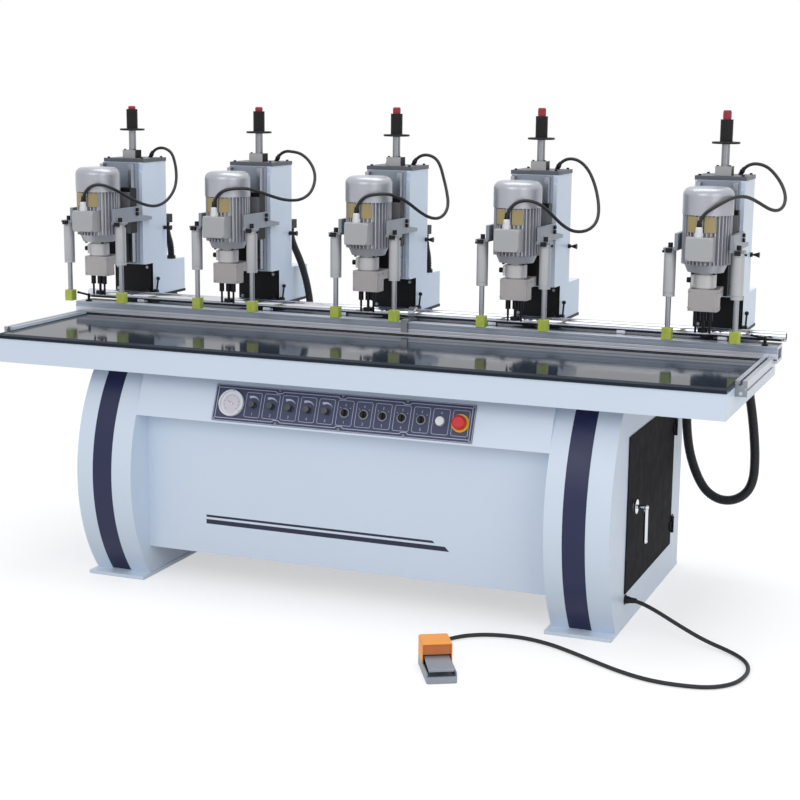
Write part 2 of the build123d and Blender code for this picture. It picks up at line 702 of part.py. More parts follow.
def stop_collar(x, width):
    """Solid collar around the rail, before it is bored."""
    return bar_x(x - width / 2, x + width / 2, RAIL_Y, RAIL_Z, RAIL_RADIUS + STOP_WALL)


def stop_bore(x, width):
    """Space for the rail in a stop."""
    return bar_x(x - width, x + width, RAIL_Y, RAIL_Z, RAIL_RADIUS + STOP_FIT)


def fence_stop_end(x):
    """End stop on the fence: shoe with a clamp lever that points to the left."""
    low = FENCE_TOP + SHOE_GAP
    y = SHOE_FRONT + SHOE_SIDE / 2
    stop = rounded_post(x, y, SHOE_SIDE, SHOE_SIDE, low, low + SHOE_THICK, 3)
    elbow = (x, y, low + LEVER_RISE)
    tip = (x - LEVER_REACH, y - 4, low + LEVER_RISE + 8)
    stop += post(x, y, low, low + LEVER_RISE, 5)
    stop += rod_between(elbow, tip, 4)
    stop += Pos(*elbow) * Sphere(6.5)
    stop += Pos(*tip) * Sphere(5)
    return [stop]


def fence_stop_middle(x):
    """Flip stop: collar with an arm over the fence and a hook before its face."""
    width = STOP_WIDTH + 6
    stop = stop_collar(x, width)
    left = x - width / 2
    right = x + width / 2
    stop += span(left, right, FENCE_FRONT - 8, RAIL_Y, FENCE_TOP + 2, FENCE_TOP + 10)
    stop += span(left, right, FENCE_FRONT - 8, FENCE_FRONT - 2, TABLE_HEIGHT + 12, FENCE_TOP + 10)
    stop -= stop_bore(x, width)
    return [stop]


def column():
    """Carriage of one head: base on bearing blocks, column, rails, brackets and clamp cylinders."""
    pieces = []
    plate = span(-PLATE_HALF, PLATE_HALF, BASE_FRONT - 2, PLATE_REAR, PLATE_UNDER, BASE_UNDER)
    pieces.append(plate)
    for y in TRACK_LINES:
        for side in (-1, 1):
            x0, x1 = sorted((side * BLOCK_INNER, side * BLOCK_OUTER))
            block = span(x0, x1, y - BLOCK_WIDTH / 2, y + BLOCK_WIDTH / 2, BLOCK_UNDER, PLATE_UNDER)
            half = TRACK_WIDTH / 2 + TRACK_CLEAR
            block -= span(x0, x1, y - half, y + half, BLOCK_UNDER, BEAM_TOP + TRACK_HEIGHT + TRACK_CLEAR)
            pieces.append(block)
    box = span(-COLUMN_HALF, COLUMN_HALF, BASE_FRONT, BASE_REAR, BASE_UNDER, BASE_TOP)
    box -= span(
        -COLUMN_HALF + COLUMN_WALL, COLUMN_HALF - COLUMN_WALL,
        BASE_FRONT + COLUMN_WALL, BASE_REAR - COLUMN_WALL, BASE_UNDER, BASE_TOP - COLUMN_WALL,
    )
    pieces.append(box)
    front_plate = span(-80, 80, BASE_FRONT - 8, BASE_FRONT, BASE_UNDER + 8, BASE_TOP - 2)
    for x in (-66, 66):
        for z in (BASE_UNDER + 22, BASE_TOP - 16):
            front_plate += bar_y(x, BASE_FRONT - 12, BASE_FRONT - 8, z, 6)
    pieces.append(front_plate)
    pieces.append(clamp_knob())
    pieces.append(lock_lever())
    casing = span(-COLUMN_HALF, COLUMN_HALF, COLUMN_FRONT, COLUMN_REAR, BASE_TOP, COLUMN_TOP)
    casing -= span(
        -COLUMN_HALF + COLUMN_WALL, COLUMN_HALF - COLUMN_WALL,
        COLUMN_FRONT + COLUMN_WALL, COLUMN_REAR - COLUMN_WALL, BASE_TOP + COLUMN_WALL, COLUMN_TOP,
    )
    slot = span(-SLOT_HALF, SLOT_HALF, RAIL_PLATE_FRONT, COLUMN_FRONT + COLUMN_WALL, SLOT_LOW, SLOT_HIGH)
    pieces.append(casing - slot)
    face_plate = span(
        -COLUMN_HALF, COLUMN_HALF, FACE_PLATE_FRONT, COLUMN_FRONT, BASE_TOP + 4, FACE_PLATE_TOP
    )
    pieces.append(face_plate - slot)
    rail_plate = span(
        -RAIL_PLATE_HALF, RAIL_PLATE_HALF, RAIL_PLATE_FRONT, FACE_PLATE_FRONT, GUIDE_LOW, GUIDE_HIGH
    )
    pieces.append(rail_plate - slot)
    for side in (-1, 1):
        x = side * GUIDE_X
        pieces.append(
            span(
                x - GUIDE_WIDTH / 2, x + GUIDE_WIDTH / 2, GUIDE_FRONT, RAIL_PLATE_FRONT,
                GUIDE_LOW + 5, GUIDE_HIGH - 5,
            )
        )
        pieces += clamp_cylinder(side)
    top = span(-PLATE_HALF, PLATE_HALF, COLUMN_FRONT, COLUMN_REAR + 2, COLUMN_TOP, TOP_PLATE)
    rod_space = post(0, ROD_Y, BARREL_LOW, DISC_UNDER, ROD_RADIUS + RUN_FIT)
    pieces.append(top - rod_space)
    barrel = post(0, ROD_Y, BARREL_LOW, COLUMN_TOP, BARREL_RADIUS) - rod_space
    barrel -= post(0, ROD_Y, BARREL_LOW + BARREL_END, COLUMN_TOP - BARREL_END, BARREL_BORE + RUN_FIT)
    pieces.append(barrel)
    block = span(
        -GUIDE_BLOCK_HALF, GUIDE_BLOCK_HALF, ROD_Y - GUIDE_BLOCK_FRONT, ROD_Y + GUIDE_BLOCK_REAR,
        TOP_PLATE, TOP_PLATE + GUIDE_BLOCK_HEIGHT,
    )
    pieces.append(block - rod_space)
    pieces.append(star_knob())
    pieces.append(cable_nipple())
    return pieces


def cable_nipple():
    """Leaning gland of the motor cable on the top plate."""
    before, end = motor_cable_routes()[0][-2:]
    tip = Vector(*end)
    root = tip - (Vector(*before) - tip).normalized() * 3 * NIPPLE_RADIUS
    nipple = rod_between(tuple(root), tuple(tip), NIPPLE_RADIUS)
    return nipple - span(-PLATE_HALF, PLATE_HALF, COLUMN_FRONT, COLUMN_REAR, COLUMN_TOP, TOP_PLATE)


def rear_fittings(number):
    """Elbow behind a column and the short conduit that some heads have, with its sleeve on the base."""
    if number != LONG_CONDUIT and number not in SHORT_CONDUITS:
        return []
    start = conduit_route()[0]
    elbow = span(start[0] - 18, start[0] + 18, COLUMN_REAR, start[1] + 18, start[2], start[2] + 34)
    if number == LONG_CONDUIT:
        return [elbow]
    route = short_conduit_route()
    end = route[-1]
    sleeve = post(end[0], end[1], BASE_TOP, end[2], CONDUIT_RADIUS + 4)
    return [elbow, sleeve, ribbed_line(route, CONDUIT_RADIUS, 1.2 * RIB_PITCH)]


def clamp_knob():
    """Ball knob on the lower corner of the base's front plate."""
    knob = Pos(72, BASE_FRONT - 22, BASE_UNDER + 12) * Sphere(11)
    return knob + bar_y(72, BASE_FRONT - 22, BASE_FRONT - 8, BASE_UNDER + 12, 4)


def lock_lever():
    """Carriage lock at the side of the base: hub, arm and ball."""
    x = COLUMN_HALF + 10
    y = BASE_FRONT + 8
    low = (x, y, BASE_UNDER + 14)
    high = (x, y + 14, BASE_UNDER + 64)
    lever = bar_x(COLUMN_HALF, x + 6, y, BASE_UNDER + 14, 9)
    lever += rod_between(low, high, 3.5)
    return lever + Pos(*high) * Sphere(7.5)


def star_knob():
    """Flared clamp knob at the side of the column: flange, thin stem and cone."""
    y = COLUMN_REAR - 20
    z = BASE_TOP + 134
    knob = bar_x(COLUMN_HALF, COLUMN_HALF + 8, y, z, 8)
    knob += bar_x(COLUMN_HALF + 8, COLUMN_HALF + 12, y, z, 3.5)
    return knob + Pos(COLUMN_HALF + 22, y, z) * Rot(0, 90, 0) * Cone(3.5, 10, 20)


def clamp_cylinder(side):
    """Bracket on the column's side and the round cylinder that hangs from it."""
    near = COLUMN_HALF
    far = near + BRACKET_THICK
    front = CLAMP_Y - CYLINDER_RADIUS - HANGER_LIP
    rear = CLAMP_Y + CYLINDER_RADIUS + HANGER_LIP
    low = CYLINDER_TOP
    high = low + BRACKET_HEIGHT
    outline = polygon(
        [
            (front + HANGER_THICK, low), (BRACKET_REAR, low), (BRACKET_REAR, low + BRACKET_TAIL_END),
            (BRACKET_BEND, low + BRACKET_TAIL), (BRACKET_BEND, high), (front + HANGER_THICK, high),
        ]
    )
    bracket = side_prism(outline, near, far)
    hanger = low + HANGER_THICK
    bracket += span(near, CLAMP_X + CYLINDER_RADIUS, front, rear, low, hanger)
    for z in (high - 11, high - 27):
        bracket += bar_x(far, far + 8, BRACKET_BEND - 26, z, 7)
    body = post(CLAMP_X, CLAMP_Y, CYLINDER_LOW, low, CYLINDER_RADIUS)
    waist = CYLINDER_RADIUS - CYLINDER_GROOVE
    for z in (CYLINDER_LOW + CYLINDER_END, low - CYLINDER_END):
        groove = post(CLAMP_X, CLAMP_Y, z - 1, z + 1, CYLINDER_RADIUS + CYLINDER_GROOVE)
        body -= groove - post(CLAMP_X, CLAMP_Y, z - 1, z + 1, waist)
    body -= post(CLAMP_X, CLAMP_Y, CYLINDER_LOW, CYLINDER_LOW + CYLINDER_END, CLAMP_ROD + RUN_FIT)
    body -= post(CLAMP_X, CLAMP_Y, CYLINDER_LOW + CYLINDER_END, low - CYLINDER_END, CYLINDER_BORE + RUN_FIT)
    body += bar_x(CLAMP_X, STUB_REACH, CLAMP_Y, low - CYLINDER_END / 2, STUB_RADIUS)
    fitting = span(CLAMP_X - 10, CLAMP_X + 10, front - 9, front, low - 7, hanger)
    nut = post(CLAMP_X, CLAMP_Y, hanger, hanger + NUT_HEIGHT, NUT_RADIUS)
    pieces = [bracket, body, fitting, nut]
    return pieces if side > 0 else [mirror(piece, about=Plane.YZ) for piece in pieces]


def drill_head():
    """Feed unit of one head: slide, depth rod, motor and gearbox."""
    pieces = feed_slide()
    pieces += motor()
    pieces.append(gearbox())
    return pieces


def feed_slide():
    """Slide plate with its four carriers, the arm to the piston rod and the depth stop."""
    shoulder = CARRIER_PLACES[0]
    plate = span(-SLIDE_HALF, SLIDE_HALF, SLIDE_FRONT, SLIDE_REAR, shoulder, SLIDE_HIGH)
    plate += span(-TONGUE_HALF, TONGUE_HALF, SLIDE_FRONT, SLIDE_REAR, SLIDE_LOW, shoulder)
    pieces = [plate]
    half = GUIDE_WIDTH / 2 + TRACK_CLEAR
    for side in (-1, 1):
        for z in CARRIER_PLACES:
            x = side * GUIDE_X
            top = z + CARRIER_LENGTH
            back = SLIDE_REAR + CARRIER_DEPTH
            carrier = span(x - CARRIER_HALF, x + CARRIER_HALF, SLIDE_REAR, back, z, top)
            carrier -= span(x - half, x + half, GUIDE_FRONT - TRACK_CLEAR, back, z, top)
            pieces.append(carrier)
    arm = span(-ARM_HALF, ARM_HALF, SLIDE_REAR, ROD_Y + ROD_RADIUS, ROD_LOW - ARM_HEIGHT, ROD_LOW)
    pieces.append(arm)
    rod = post(0, ROD_Y, ROD_LOW, DISC_UNDER, ROD_RADIUS)
    rod += post(0, ROD_Y, PISTON_LOW, PISTON_LOW + PISTON_LENGTH, BARREL_BORE)
    pieces.append(rod)
    disc_top = DISC_UNDER + DISC_THICK
    disc = post(0, ROD_Y, DISC_UNDER, disc_top, DISC_RADIUS)
    pieces.append(chamfer(disc.edges().filter_by(GeomType.CIRCLE), 1.2))
    outline = Circle(KNOB_RADIUS)
    for spot in PolarLocations(KNOB_RADIUS + 1.2, 20):
        outline -= spot * Circle(2.2)
    pieces.append(extrude(Pos(0, ROD_Y, disc_top) * outline, amount=KNOB_HEIGHT))
    return pieces


def depth_cap(number):
    """Red cap on a head's depth knob, turned out as far as that head is set."""
    low = DISC_UNDER + DISC_THICK + KNOB_HEIGHT
    cap = post(0, ROD_Y, low, low + CAP_HEIGHTS[number - 1], CAP_RADIUS)
    return fillet(cap.edges().group_by(Axis.Z)[-1], 4)


def motor():
    """Finned motor with its cowl, terminal box, and the coupling ring that carries it."""
    outline = Circle(MOTOR_CORE)
    reach = MOTOR_RADIUS - MOTOR_CORE + 6
    for spot in PolarLocations(MOTOR_RADIUS - reach / 2, MOTOR_FINS):
        outline += spot * Rectangle(reach, FIN_THICK)
    body = extrude(Pos(0, AXIS_Y, MOTOR_LOW) * outline, amount=MOTOR_HEIGHT)
    low_x = BOX_CENTRE - BOX_WIDTH / 2
    high_x = BOX_CENTRE + BOX_WIDTH / 2
    box = span(low_x, high_x, BOX_FRONT + BOX_LID, AXIS_Y - MOTOR_CORE / 2, BOX_LOW, BOX_LOW + BOX_HEIGHT)
    box -= post(0, AXIS_Y, BOX_LOW, BOX_LOW + BOX_HEIGHT, MOTOR_CORE)
    body -= box
    flange = Pos(0, AXIS_Y, (FLANGE_LOW + MOTOR_LOW) / 2)
    body += flange * Cone(FLANGE_LOWER, FLANGE_RADIUS, FLANGE_HEIGHT)
    body += post(0, AXIS_Y, RING_TOP, FLANGE_LOW, SPIGOT_RADIUS)
    outline = Rot(90, 0, 0) * RectangleRounded(BOX_WIDTH, BOX_HEIGHT, BOX_CORNER)
    back = Pos(BOX_CENTRE, BOX_FRONT + BOX_LID, BOX_LOW + BOX_HEIGHT / 2)
    lid = extrude(back * outline, amount=BOX_LID, dir=(0, -1, 0))
    lid = fillet(lid.edges().group_by(Axis.Y)[0], 2)
    start = motor_cable_routes()[0][0]
    gland = post(start[0], start[1], BOX_LOW + BOX_HEIGHT, start[2], GLAND_RADIUS)
    cowl = post(0, AXIS_Y, MOTOR_TOP, MOTOR_TOP + COWL_HEIGHT, COWL_RADIUS)
    cowl = fillet(cowl.edges().group_by(Axis.Z)[-1], COWL_ROUND)
    ring = post(0, AXIS_Y, RING_LOW, RING_TOP, RING_RADIUS)
    middle = (RING_LOW + RING_TOP) / 2
    lug = -RING_RADIUS - RING_LUG
    ring += span(lug, 0, AXIS_Y - 14, AXIS_Y + 14, middle - 18, middle + 18)
    ring -= post(0, AXIS_Y, RING_LOW, RING_TOP, RING_BORE)
    bolt = bar_x(lug - 16, lug, AXIS_Y, middle, 9)
    return [body, box, lid, gland, cowl, ring, bolt]


def gearbox():
    """Hollow gear housing with bores for the three spindles and the arm that joins it to the slide."""
    top = GEARBOX_TOP
    depth = GEARBOX_REAR - GEARBOX_FRONT
    middle = (GEARBOX_FRONT + GEARBOX_REAR) / 2
    housing = rounded_post(0, middle, 2 * GEARBOX_HALF, depth, GEARBOX_LOW, top, GEARBOX_CORNER)
    half = ARM_WIDTH / 2
    housing += span(-half, half, GEARBOX_REAR - GEARBOX_CORNER, SLIDE_FRONT, top - ARM_DROP, top)
    housing += post(0, AXIS_Y, top, RING_LOW, NECK_RADIUS)
    housing -= span(
        -GEARBOX_HALF + GEARBOX_WALL, GEARBOX_HALF - GEARBOX_WALL,
        GEARBOX_FRONT + GEARBOX_WALL, GEARBOX_REAR - GEARBOX_WALL,
        GEARBOX_LOW + GEARBOX_FLOOR, top - GEARBOX_FLOOR,
    )
    housing -= post(0, AXIS_Y, GEARBOX_LOW, RING_LOW, SHAFT_RADIUS + RUN_FIT)
    for x in (-SIDE_X, SIDE_X):
        housing -= post(x, SIDE_Y, GEARBOX_LOW, SIDE_SHAFT_TOP + 1, SHAFT_RADIUS + RUN_FIT)
    return housing


def gear(x, y, phase):
    """Spur gear with straight-sided teeth; phase is the angle of one tooth in degrees."""
    tip = GEAR_PITCH + GEAR_ADDENDUM
    root = GEAR_PITCH - GEAR_DEDENDUM
    half = math.pi * GEAR_MODULE / 4 - GEAR_THIN
    tip_angle = (half - GEAR_SLOPE * GEAR_ADDENDUM) / tip
    root_angle = (half + GEAR_SLOPE * GEAR_DEDENDUM) / root
    points = []
    for i in range(GEAR_TEETH):
        middle = math.radians(phase) + 2 * math.pi * i / GEAR_TEETH
        corners = ((root, -root_angle), (tip, -tip_angle), (tip, tip_angle), (root, root_angle))
        for radius, turn in corners:
            points.append((radius * math.cos(middle + turn), radius * math.sin(middle + turn)))
    return extrude(Pos(x, y, GEAR_LOW) * polygon(points), amount=GEAR_WIDTH, dir=(0, 0, 1))


def mesh_phase(direction):
    """Phase of a gear in mesh with the centre gear, which has a tooth at angle 0."""
    pitch = 360 / GEAR_TEETH
    return 2 * direction + 180 + pitch / 2


def spindle(x, y, phase, chuck_radius, shaft_top, bit):
    """Shaft with its gear, the chuck and a bit."""
    shaft = post(x, y, SHAFT_LOW, shaft_top, SHAFT_RADIUS) + gear(x, y, phase)
    chuck_top = GEARBOX_LOW - CHUCK_GAP
    chuck = post(x, y, chuck_top - CHUCK_LENGTH, chuck_top, chuck_radius)
    chuck -= post(x, y, SHAFT_LOW, shaft_top, SHAFT_RADIUS)
    chuck -= bit
    return [shaft, chuck, bit]


def centre_spindle():
    """Driven spindle with the coupling hub and the cup bit."""
    cup_top = BIT_TIP + POINT_LENGTH + CUP_HEIGHT
    bit = post(0, AXIS_Y, cup_top, SHANK_TOP, SHANK_RADIUS)
    cup = post(0, AXIS_Y, BIT_TIP + POINT_LENGTH, cup_top, CUP_RADIUS)
    for side in (-1, 1):
        x0, x1 = sorted((0, side * CUP_RADIUS))
        y = AXIS_Y + side * 8
        cup -= span(x0, x1, y - 4, y + 4, BIT_TIP, cup_top)
    tip = Pos(0, AXIS_Y, BIT_TIP + POINT_LENGTH / 2) * Rot(180, 0, 0) * Cone(3, 0.5, POINT_LENGTH)
    bit += cup + tip
    pieces = spindle(0, AXIS_Y, 0, CENTRE_CHUCK, CENTRE_SHAFT_TOP, bit)
    pieces[0] += post(0, AXIS_Y, HUB_LOW, HUB_LOW + HUB_HEIGHT, HUB_RADIUS)
    return pieces


def side_spindle(side):
    """Spindle beside the centre one, with a plain drill."""
    x = side * SIDE_X
    bit = post(x, SIDE_Y, BIT_TIP + POINT_LENGTH, SHANK_TOP, DRILL_RADIUS)
    point = Pos(x, SIDE_Y, BIT_TIP + POINT_LENGTH / 2) * Rot(180, 0, 0)
    bit += point * Cone(DRILL_RADIUS, 0.5, POINT_LENGTH)
    direction = -SIDE_ANGLE if side > 0 else 180 + SIDE_ANGLE
    return spindle(x, SIDE_Y, mesh_phase(direction), SIDE_CHUCK, SIDE_SHAFT_TOP, bit)


def clamp():
    """Both clamp pistons with their rods and soft feet."""
    pieces = []
    for x in (-CLAMP_X, CLAMP_X):
        foot_top = FOOT_LOW + FOOT_HEIGHT
        rod = post(x, CLAMP_Y, foot_top, CLAMP_PISTON_LOW, CLAMP_ROD)
        rod += post(x, CLAMP_Y, CLAMP_PISTON_LOW, CLAMP_PISTON_LOW + CLAMP_PISTON, CYLINDER_BORE)
        foot = rounded_post(x, CLAMP_Y, FOOT_SIDE, FOOT_SIDE, FOOT_LOW, foot_top, 5)
        foot = chamfer(foot.edges().group_by(Axis.Z)[0], 1.5)
        pieces += [rod, foot]
    return pieces


def in_pedal(shape):
    """Carry a piece from the pedal's own axes to its place on the floor."""
    return Pos(PEDAL_X, PEDAL_Y, 0) * Rot(0, 0, PEDAL_TURN) * shape


def pedal_base():
    """Pedal tray with the orange hood and the cable gland."""
    half = PEDAL_WIDTH / 2
    tray = rounded_post(0, PEDAL_LENGTH / 2, PEDAL_WIDTH, PEDAL_LENGTH, 0, PEDAL_SIDE, 8)
    tray -= span(
        -half + PEDAL_WALL, half - PEDAL_WALL, PEDAL_FLOOR, PEDAL_LENGTH - PEDAL_WALL,
        PEDAL_FLOOR, PEDAL_SIDE,
    )
    tray -= span(-half, half, -1, PEDAL_FLOOR, PEDAL_LIP, PEDAL_SIDE)
    middle = (HOOD_FRONT + PEDAL_LENGTH) / 2
    hood = Pos(0, middle, (PEDAL_SIDE + HOOD_TOP) / 2) * Box(
        PEDAL_WIDTH, PEDAL_LENGTH - HOOD_FRONT, HOOD_TOP - PEDAL_SIDE
    )
    hood = fillet(hood.edges().filter_by(Axis.Z).group_by(Axis.Y)[-1], 8)
    hood = fillet(hood.edges().group_by(Axis.Z)[-1], 6)
    hood -= span(
        -half + HOOD_WALL, half - HOOD_WALL, HOOD_FRONT, PEDAL_LENGTH - HOOD_WALL,
        PEDAL_SIDE, HOOD_TOP - 2 * HOOD_WALL,
    )
    hood -= bar_x(-half, half, PIVOT_Y, PIVOT_Z, PIVOT_RADIUS + RUN_FIT)
    gland = bar_y(0, PEDAL_LENGTH, PEDAL_LENGTH + 14, 20, 10)
    return [in_pedal(piece) for piece in (tray, hood, gland)]


def pedal_treadle():
    """Tilted treadle on a pin through the hood."""
    half = PEDAL_WIDTH / 2
    length = PIVOT_Y - TREADLE_FRONT
    plate = Pos(0, -length / 2, 0) * Box(2 * TREADLE_HALF, length, TREADLE_THICK)
    for i in range(5):
        plate -= Pos(0, -length + 14 + 14 * i, TREADLE_THICK / 2) * Box(2 * TREADLE_HALF, 3, 2)
    plate = Pos(0, PIVOT_Y, PIVOT_Z) * Rot(TREADLE_SLOPE, 0, 0) * plate
    plate += bar_x(-TREADLE_HALF, TREADLE_HALF, PIVOT_Y, PIVOT_Z, PIVOT_BOSS)
    plate += bar_x(-half + 0.5, half - 0.5, PIVOT_Y, PIVOT_Z, PIVOT_RADIUS)
    return [in_pedal(plate)]


def above_table(points):
    """Points of one head with their heights counted from the table top."""
    return [(x, y, TABLE_HEIGHT + z) for x, y, z in points]


def motor_cable_routes():
    """Ways of the motor cables beside their heads: terminal box gland, free loop, nipple on the column."""
    first = [(-8, 504, 440), (-8, 504, 457), (8, 502, 484), (34, 501, 502)]
    last = [(112, 921, 628), (82, 920, 630), (56, 920, 616), (48, 920, 602)]
    loops = [
        [
            (68, 510, 507), (98, 526, 496), (115, 560, 478), (127, 596, 459), (138, 630, 443),
            (147, 663, 430), (156, 697, 420), (165, 732, 415), (173, 767, 419), (180, 801, 432),
            (184, 831, 452), (184, 859, 476), (177, 885, 505), (167, 905, 534), (155, 917, 572),
            (140, 921, 610),
        ],
        [
            (70, 510, 509), (104, 527, 511), (126, 555, 504), (142, 586, 494), (155, 617, 483),
            (168, 650, 473), (181, 682, 464), (197, 713, 459), (213, 745, 458), (226, 778, 465),
            (234, 810, 480), (235, 839, 502), (230, 866, 528), (217, 890, 556), (196, 908, 583),
            (170, 917, 607), (142, 920, 623),
        ],
        [
            (69, 510, 508), (100, 530, 509), (118, 560, 500), (134, 588, 487), (148, 617, 471),
            (159, 645, 453), (170, 674, 436), (181, 704, 422), (192, 737, 412), (204, 772, 411),
            (212, 803, 423), (213, 832, 443), (206, 856, 468), (193, 878, 495), (179, 898, 523),
            (165, 911, 554), (153, 918, 586), (137, 921, 613),
        ],
        [
            (69, 509, 506), (104, 522, 493), (127, 551, 467), (142, 580, 442), (154, 609, 422),
            (166, 638, 406), (180, 669, 394), (197, 701, 390), (214, 734, 394), (226, 766, 407),
            (230, 796, 426), (227, 823, 450), (219, 848, 476), (208, 871, 503), (195, 891, 531),
            (180, 907, 559), (162, 917, 588), (139, 921, 613),
        ],
        [
            (60, 513, 519), (83, 540, 533), (101, 571, 538), (118, 603, 537), (134, 635, 529),
            (150, 665, 516), (166, 694, 502), (182, 724, 489), (197, 757, 483), (208, 789, 488),
            (213, 820, 502), (211, 848, 523), (201, 873, 546), (185, 895, 570), (163, 911, 595),
            (138, 920, 617),
        ],
    ]
    return [above_table(first + loop + last) for loop in loops]


def conduit_route():
    """Way of the long conduit beside its column, from the elbow at the rear down to the beam."""
    return above_table(
        [
            (64, 1000, 330), (64, 1000, 300), (78, 1000, 260), (101, 1000, 215), (120, 1000, 165),
            (135, 999, 113), (146, 996, 64), (149, 994, 43), (149, 994, 26),
        ]
    )


def short_conduit_route():
    """Way of a short conduit behind its column, from the elbow down into the base."""
    return above_table([(64, 1000, 330), (64, 1000, 292), (62, 1038, 231), (62, 1038, 193)])


def loop_route():
    """Way of the hanging conduit loop under the beam's right end, from the beam's end and underside."""
    points = [
        (-257, 958, 14), (-257, 958, 60), (-256, 957, 106), (-254, 956, 166), (-249, 954, 236),
        (-238, 952, 304), (-218, 951, 368), (-191, 950, 423), (-162, 950, 458), (-117, 950, 480),
        (-68, 950, 476), (-25, 950, 447), (-3, 950, 398), (0, 950, 326), (-7, 952, 241),
        (-19, 954, 156), (-32, 957, 91), (-36, 958, 56), (-36, 958, 14),
    ]
    return [(BEAM_RIGHT + x, y, FRAME_UNDER - drop) for x, y, drop in points]


def pedal_cable_route():
    """Way of the pedal cable from the cabinet's side over the floor to the pedal."""
    turn = math.radians(PEDAL_TURN)
    reach = PEDAL_LENGTH + 14
    near = reach + 32
    end = (PEDAL_X - reach * math.sin(turn), PEDAL_Y + reach * math.cos(turn), 20)
    before = (PEDAL_X - near * math.sin(turn), PEDAL_Y + near * math.cos(turn), 20)
    return [
        (PEDESTAL_OUTER + 14, GLAND_Y, GLAND_Z), (1000, GLAND_Y, GLAND_Z), (1062, 205, 80), (1150, 175, 48),
        (1240, 142, 20), (1331, 103, 8), (1385, 45, 7), (1410, -20, 7), (1414, -90, 7), (1395, -175, 7),
        (1335, -235, 7), (1250, -250, 7), (1160, -246, 7), (1060, -208, 7), (960, -148, 7), (870, -92, 7),
        (790, -48, 7), (700, -22, 7), (610, -28, 7), (535, -60, 7), (485, -115, 7), (462, -185, 7),
        (461, -240, 10), before, end,
    ]


def rounded_path(points):
    """Straight runs with tangent arcs as large as the runs allow."""
    corners = [Vector(*point) for point in points]
    radii = []
    for before, corner, after in zip(corners, corners[1:], corners[2:]):
        come = corner - before
        go = after - corner
        turn = math.radians(come.get_angle(go))
        reach = 0.45 * min(come.length, go.length)
        if before is corners[0]:
            reach = min(0.9 * come.length, 0.45 * go.length)
        if after is corners[-1]:
            reach = min(0.45 * come.length, 0.9 * go.length)
        radii.append(reach / math.tan(turn / 2))
    return FilletPolyline(*points, radius=radii), radii


def round_line(points, radius):
    """Round cable along its way."""
    path, radii = rounded_path(points)
    section = Plane(origin=path @ 0, z_dir=path % 0) * Circle(radius)
    line = sweep(section, path=path)
    share = line.volume / (math.pi * radius**2 * path.length)
    print("cable length", round(path.length), "least radius", round(min(radii)), "share", round(share, 4))
    return line


def ribbed_line(points, radius, pitch):
    """Ribbed conduit along its way, with its bore."""
    path, radii = rounded_path(points)
    count = round(path.length / pitch)
    step = path.length / count
    steady = min((Vector(0, 1, 0), Vector(1, 0, 0)), key=lambda way: abs((path % 0.5).dot(way)))
    circles = []
    for i in range(count):
        for share, depth in ((0.0, RIB_DEPTH), (0.3, RIB_DEPTH), (0.45, 0), (0.85, 0)):
            place = (i + share) * step / path.length
            plane = Plane(origin=path @ place, x_dir=steady, z_dir=path % place)
            circles.append(plane * Circle(radius - depth))
    plane = Plane(origin=path @ 1, x_dir=steady, z_dir=path % 1)
    circles.append(plane * Circle(radius - RIB_DEPTH))
    hose = loft(circles, ruled=True)
    section = Plane(origin=path @ 0, x_dir=steady, z_dir=path % 0) * Circle(radius - 2 * RIB_DEPTH)
    hose -= sweep(section, path=path)
    print("hose length", round(path.length), "ribs", count, "least radius", round(min(radii)))
    return hose


def motor_cables():
    """The five motor cables."""
    routes = zip(HEAD_PLACES, motor_cable_routes())
    return [Pos(x, 0, 0) * round_line(route, MOTOR_CABLE) for x, route in routes]


def conduit_hoses():
    """The long conduit between a column and the beam, and the hanging loop."""
    line = ribbed_line(conduit_route(), CONDUIT_RADIUS, 1.2 * RIB_PITCH)
    loop = ribbed_line(loop_route(), LOOP_RADIUS, RIB_PITCH)
    return [Pos(HEAD_PLACES[LONG_CONDUIT - 1], 0, 0) * line, loop]


def pedal_cable():
    """Cable between the cabinet and the pedal, with the gland at the cabinet."""
    gland = bar_x(PEDESTAL_OUTER, PEDESTAL_OUTER + 14, GLAND_Y, GLAND_Z, 11)
    return [round_line(pedal_cable_route(), PEDAL_CABLE), gland]


def write(name, pieces):
    """One node: its pieces as separate solids, centred in plan."""
    solids = [solid for piece in pieces for solid in piece.solids()]
    node = Pos(0, -PLAN_CENTRE, 0) * Compound(solids)
    node.label = name
    export_step(node, os.path.join("parts", name + ".step"))


def main():
    os.makedirs("parts", exist_ok=True)
    write("table_frame", table_frame())
    write("table_top", table_top())
    write("left_pedestal", left_pedestal())
    write("right_pedestal", right_pedestal())
    write("cabinet_door", cabinet_door())
    write("door_handle", door_handle())
    write("front_body", front_body())
    write("control_panel", control_panel())
    places = control_places()
    for i in range(5):
        write(f"regulator_{i + 1}", regulator(places[i]))
        write(f"selector_{i + 1}", selector(places[5 + i]))
    write("start_button", start_button(places[10]))
    write("emergency_stop", emergency_stop(places[11]))
    write("rear_beam", rear_beam())
    write("fence", fence())
    write("fence_stop_left", fence_stop_end(STOP_LEFT))
    write("fence_stop_middle", fence_stop_middle(STOP_MIDDLE))
    write("fence_stop_right", fence_stop_end(STOP_RIGHT))
    head = {
        "column": column(),
        "drill_head": drill_head(),
        "centre_spindle": centre_spindle(),
        "left_spindle": side_spindle(-1),
        "right_spindle": side_spindle(1),
        "clamp": clamp(),
    }
    for number, x in enumerate(HEAD_PLACES, 1):
        for name, pieces in head.items():
            extra = []
            if name == "column":
                extra = rear_fittings(number)
            if name == "drill_head":
                extra = [depth_cap(number)]
            write(f"{name}_{number}", [Pos(x, 0, 0) * piece for piece in pieces + extra])
    write("pedal_base", pedal_base())
    write("pedal_treadle", pedal_treadle())
    write("pedal_cable", pedal_cable())
    write("motor_cables", motor_cables())
    write("conduit_hoses", conduit_hoses())


